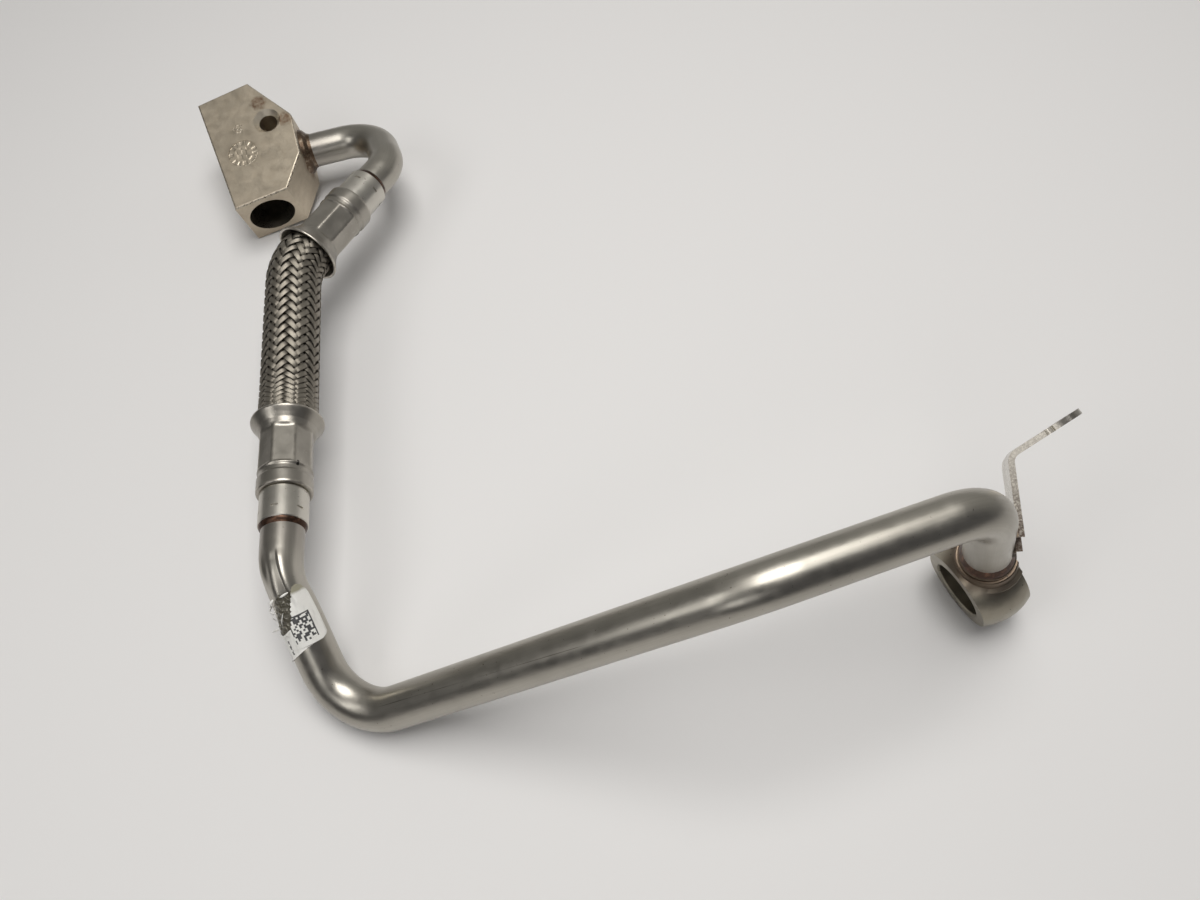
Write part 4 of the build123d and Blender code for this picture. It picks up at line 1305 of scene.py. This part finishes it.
def drawn_in(s, body):
    """A radius less (BRAID_LOW_R - BRAID_END_R) x (1 - run from a mouth / DRAWN_IN_LEN)^2."""
    mouth = DRAWN_IN_LEN * MM
    inward = np.clip(1 - s / mouth, 0, 1) ** 2 + np.clip(1 - (hose_len - s) / mouth, 0, 1) ** 2
    return body + (BRAID_END_R - BRAID_LOW_R) * np.clip(inward, 0, 1)


def braid_body_r(s):
    """Mean radius of the cover, a little slimmer toward the upper end."""
    share = s / hose_len
    return drawn_in(s, BRAID_LOW_R * (1 - share) + BRAID_HIGH_R * share)


def ribbon_section():
    """One ribbon's section: where its points lie across it, their height and their painted shade.

    Across the ribbon the height is a row of half circles, one for each wire, which drops at its two edges
    by the fourth power of the place across. Two more points make its flat back.
    """
    across = np.linspace(-1.0, 1.0, 3 * RIBBON_WIRES + 1)
    round_wire = np.sqrt(np.clip(1 - (2 * ((across + 1) / 2 * RIBBON_WIRES % 1) - 1) ** 2, 0, 1))
    height = RIBBON_H + WIRE_H * round_wire - RIBBON_EDGE_DROP * across ** 4
    crown = GAP_SHADE + WIRE_SHADE * round_wire - EDGE_SHADE_DROP * across ** 6
    across = np.concatenate([across, [RIBBON_BACK_SHARE, -RIBBON_BACK_SHARE]])
    height = np.concatenate([height, [-RIBBON_BACK_DROP, -RIBBON_BACK_DROP]])
    crown = np.concatenate([crown, [0.0, 0.0]])
    return across, height, crown


def braid_layer(name, hand):
    """Flat ribbons of wires wound one way round the hose.

    A ribbon's middle goes round by braid_turn. It rises and falls by tanh(flatness x cos(half the carriers
    x its angle)), so that it passes over two of the other hand and under two. It carries ribbon_section
    along, square to its own slope, and closes to a point at both ends.
    """
    samples = int(ROWS * ROW_SAMPLES)
    table_s = np.linspace(0.0, hose_len, 2000)
    table_turn = braid_turn(table_s)
    turn = np.linspace(0.0, table_turn[-1], samples)
    s_mid = np.interp(turn, table_turn, table_s)
    across, lift, crown = ribbon_section()
    columns = len(across)
    slope = np.arctan2(np.gradient(s_mid), np.gradient(turn) * BRAID_LOW_R)
    carrier = np.arange(CARRIERS)[:, None]
    angle = 2 * np.pi * (carrier + 0.5 * (hand < 0)) / CARRIERS + hand * turn
    wave = np.tanh(WAVE_FLATNESS * np.cos(CARRIERS / 2 * angle)) / math.tanh(WAVE_FLATNESS) * hand
    # The tone drifts from one carrier to the next, and a little along each of them
    tone = 0.90 + 0.10 * np.sin(carrier * 2.4 + hand) + 0.05 * np.sin(turn * 7.3 + carrier)
    half = RIBBON_W / 2
    open_ends = np.ones((samples, 1))
    open_ends[[0, -1]] = 0.0
    s = s_mid[:, None] + across * half * np.cos(slope)[:, None] * open_ends
    a = angle[:, :, None] - hand * across * half * (np.sin(slope)[:, None] * open_ends) / BRAID_LOW_R
    r = (braid_body_r(s_mid) + BRAID_WAVE * wave)[:, :, None] + lift * open_ends
    verts = on_path(hose_path, np.clip(s, 0, hose_len)[None], a, r)
    block = grid_faces(samples, columns, False, True)
    faces = (block[None] + (np.arange(CARRIERS) * samples * columns)[:, None, None]).reshape(-1, 4)
    obj = new_piece(name, verts, faces if hand < 0 else faces[:, ::-1], wire_steel)
    # Painted shade: dark where a ribbon dives under the other hand, between its wires and at its edges, and
    # light on top
    top = smooth(wave, -0.9, 0.9) * tone
    set_shade(obj, (DIP_SHADE + TOP_SHADE * top)[:, :, None] * crown)
    weld(obj)
    return obj


for name, hand in (("braid_right_hand", 1), ("braid_left_hand", -1)):
    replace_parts(braid_layer(name, hand), "hose_braid")


def underlay_wall(s, angle):
    """UNDERLAY_R everywhere, drawn in at the mouths."""
    return drawn_in(s, np.full(np.broadcast(s, angle).shape, UNDERLAY_R))


# The sleeve's dark colour is painted shade seen through the gaps of the braid
underlay = tube_piece(
    "braid_shade_underlay", hose_path, hose_path[3][::2], EVEN_COLUMNS[::2], underlay_wall, UNDERLAY_BORE_R,
    underlay_shade_metal)
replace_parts(underlay, "hose_braid")


# Table, room, lamps and camera

def add_lamp(name, place, look, size, power, colour, spin):
    """A rectangular lamp at a place that faces a point, turned about its beam by spin."""
    lamp = bpy.data.lights.new(name, "AREA")
    lamp.shape = "RECTANGLE"
    lamp.size, lamp.size_y = size
    lamp.energy = power
    lamp.color = colour
    obj = add_object(name, lamp)
    obj.location = place
    aim = (Vector(look) - Vector(place)).to_track_quat("-Z", "Y").to_matrix()
    obj.rotation_euler = (aim @ Matrix.Rotation(math.radians(spin), 3, "Z")).to_euler()


def make_table():
    """One square at height 0, TABLE_HALF to each side of the middle."""
    corners = [(-TABLE_HALF, -TABLE_HALF, 0), (TABLE_HALF, -TABLE_HALF, 0),
               (TABLE_HALF, TABLE_HALF, 0), (-TABLE_HALF, TABLE_HALF, 0)]
    mesh = bpy.data.meshes.new("table")
    mesh.from_pydata(corners, [], [(0, 1, 2, 3)])
    mat = bpy.data.materials.new("pale_table")
    mat.use_nodes = True
    shader = mat.node_tree.nodes["Principled BSDF"]
    shader.inputs["Base Color"].default_value = TABLE_TINT + (1.0,)
    shader.inputs["Roughness"].default_value = TABLE_ROUGH
    mesh.materials.append(mat)
    obj = add_object("table", mesh)


def make_room():
    """A dim room, lighter behind the object by the direction's Y, and dimmer at low X on the left."""
    world = bpy.data.worlds.new("studio")
    world.use_nodes = True
    bpy.context.scene.world = world
    x, y = axes(world, add_node(world, "ShaderNodeTexCoord").outputs["Generated"])
    colour = mix_colour(world, spread(world, y, *ROOM_BLEND_Y), ROOM_FRONT, ROOM_BACK)
    background = world.node_tree.nodes["Background"]
    link(world, colour, background.inputs["Color"])
    link(world, spread(world, x, *ROOM_BLEND_X, ROOM_LEFT_SHARE, 1.0), background.inputs["Strength"])


def make_camera():
    """The photograph's camera: its place, then its look turned about itself by the roll."""
    data = bpy.data.cameras.new("photo_camera")
    data.lens = CAMERA_LENS
    data.sensor_width = CAMERA_SENSOR
    data.clip_start = 0.01
    obj = add_object("photo_camera", data)
    turn = Vector(CAMERA_LOOK).to_track_quat("-Z", "Y").to_matrix().to_4x4()
    roll = Matrix.Rotation(math.radians(CAMERA_ROLL), 4, "Z")
    obj.matrix_world = Matrix.Translation(CAMERA_AT) @ turn @ roll
    bpy.context.scene.camera = obj


make_table()
make_room()
make_camera()
for lamp in LAMPS:
    add_lamp(*lamp)
bpy.context.scene.view_settings.view_transform = "Standard"
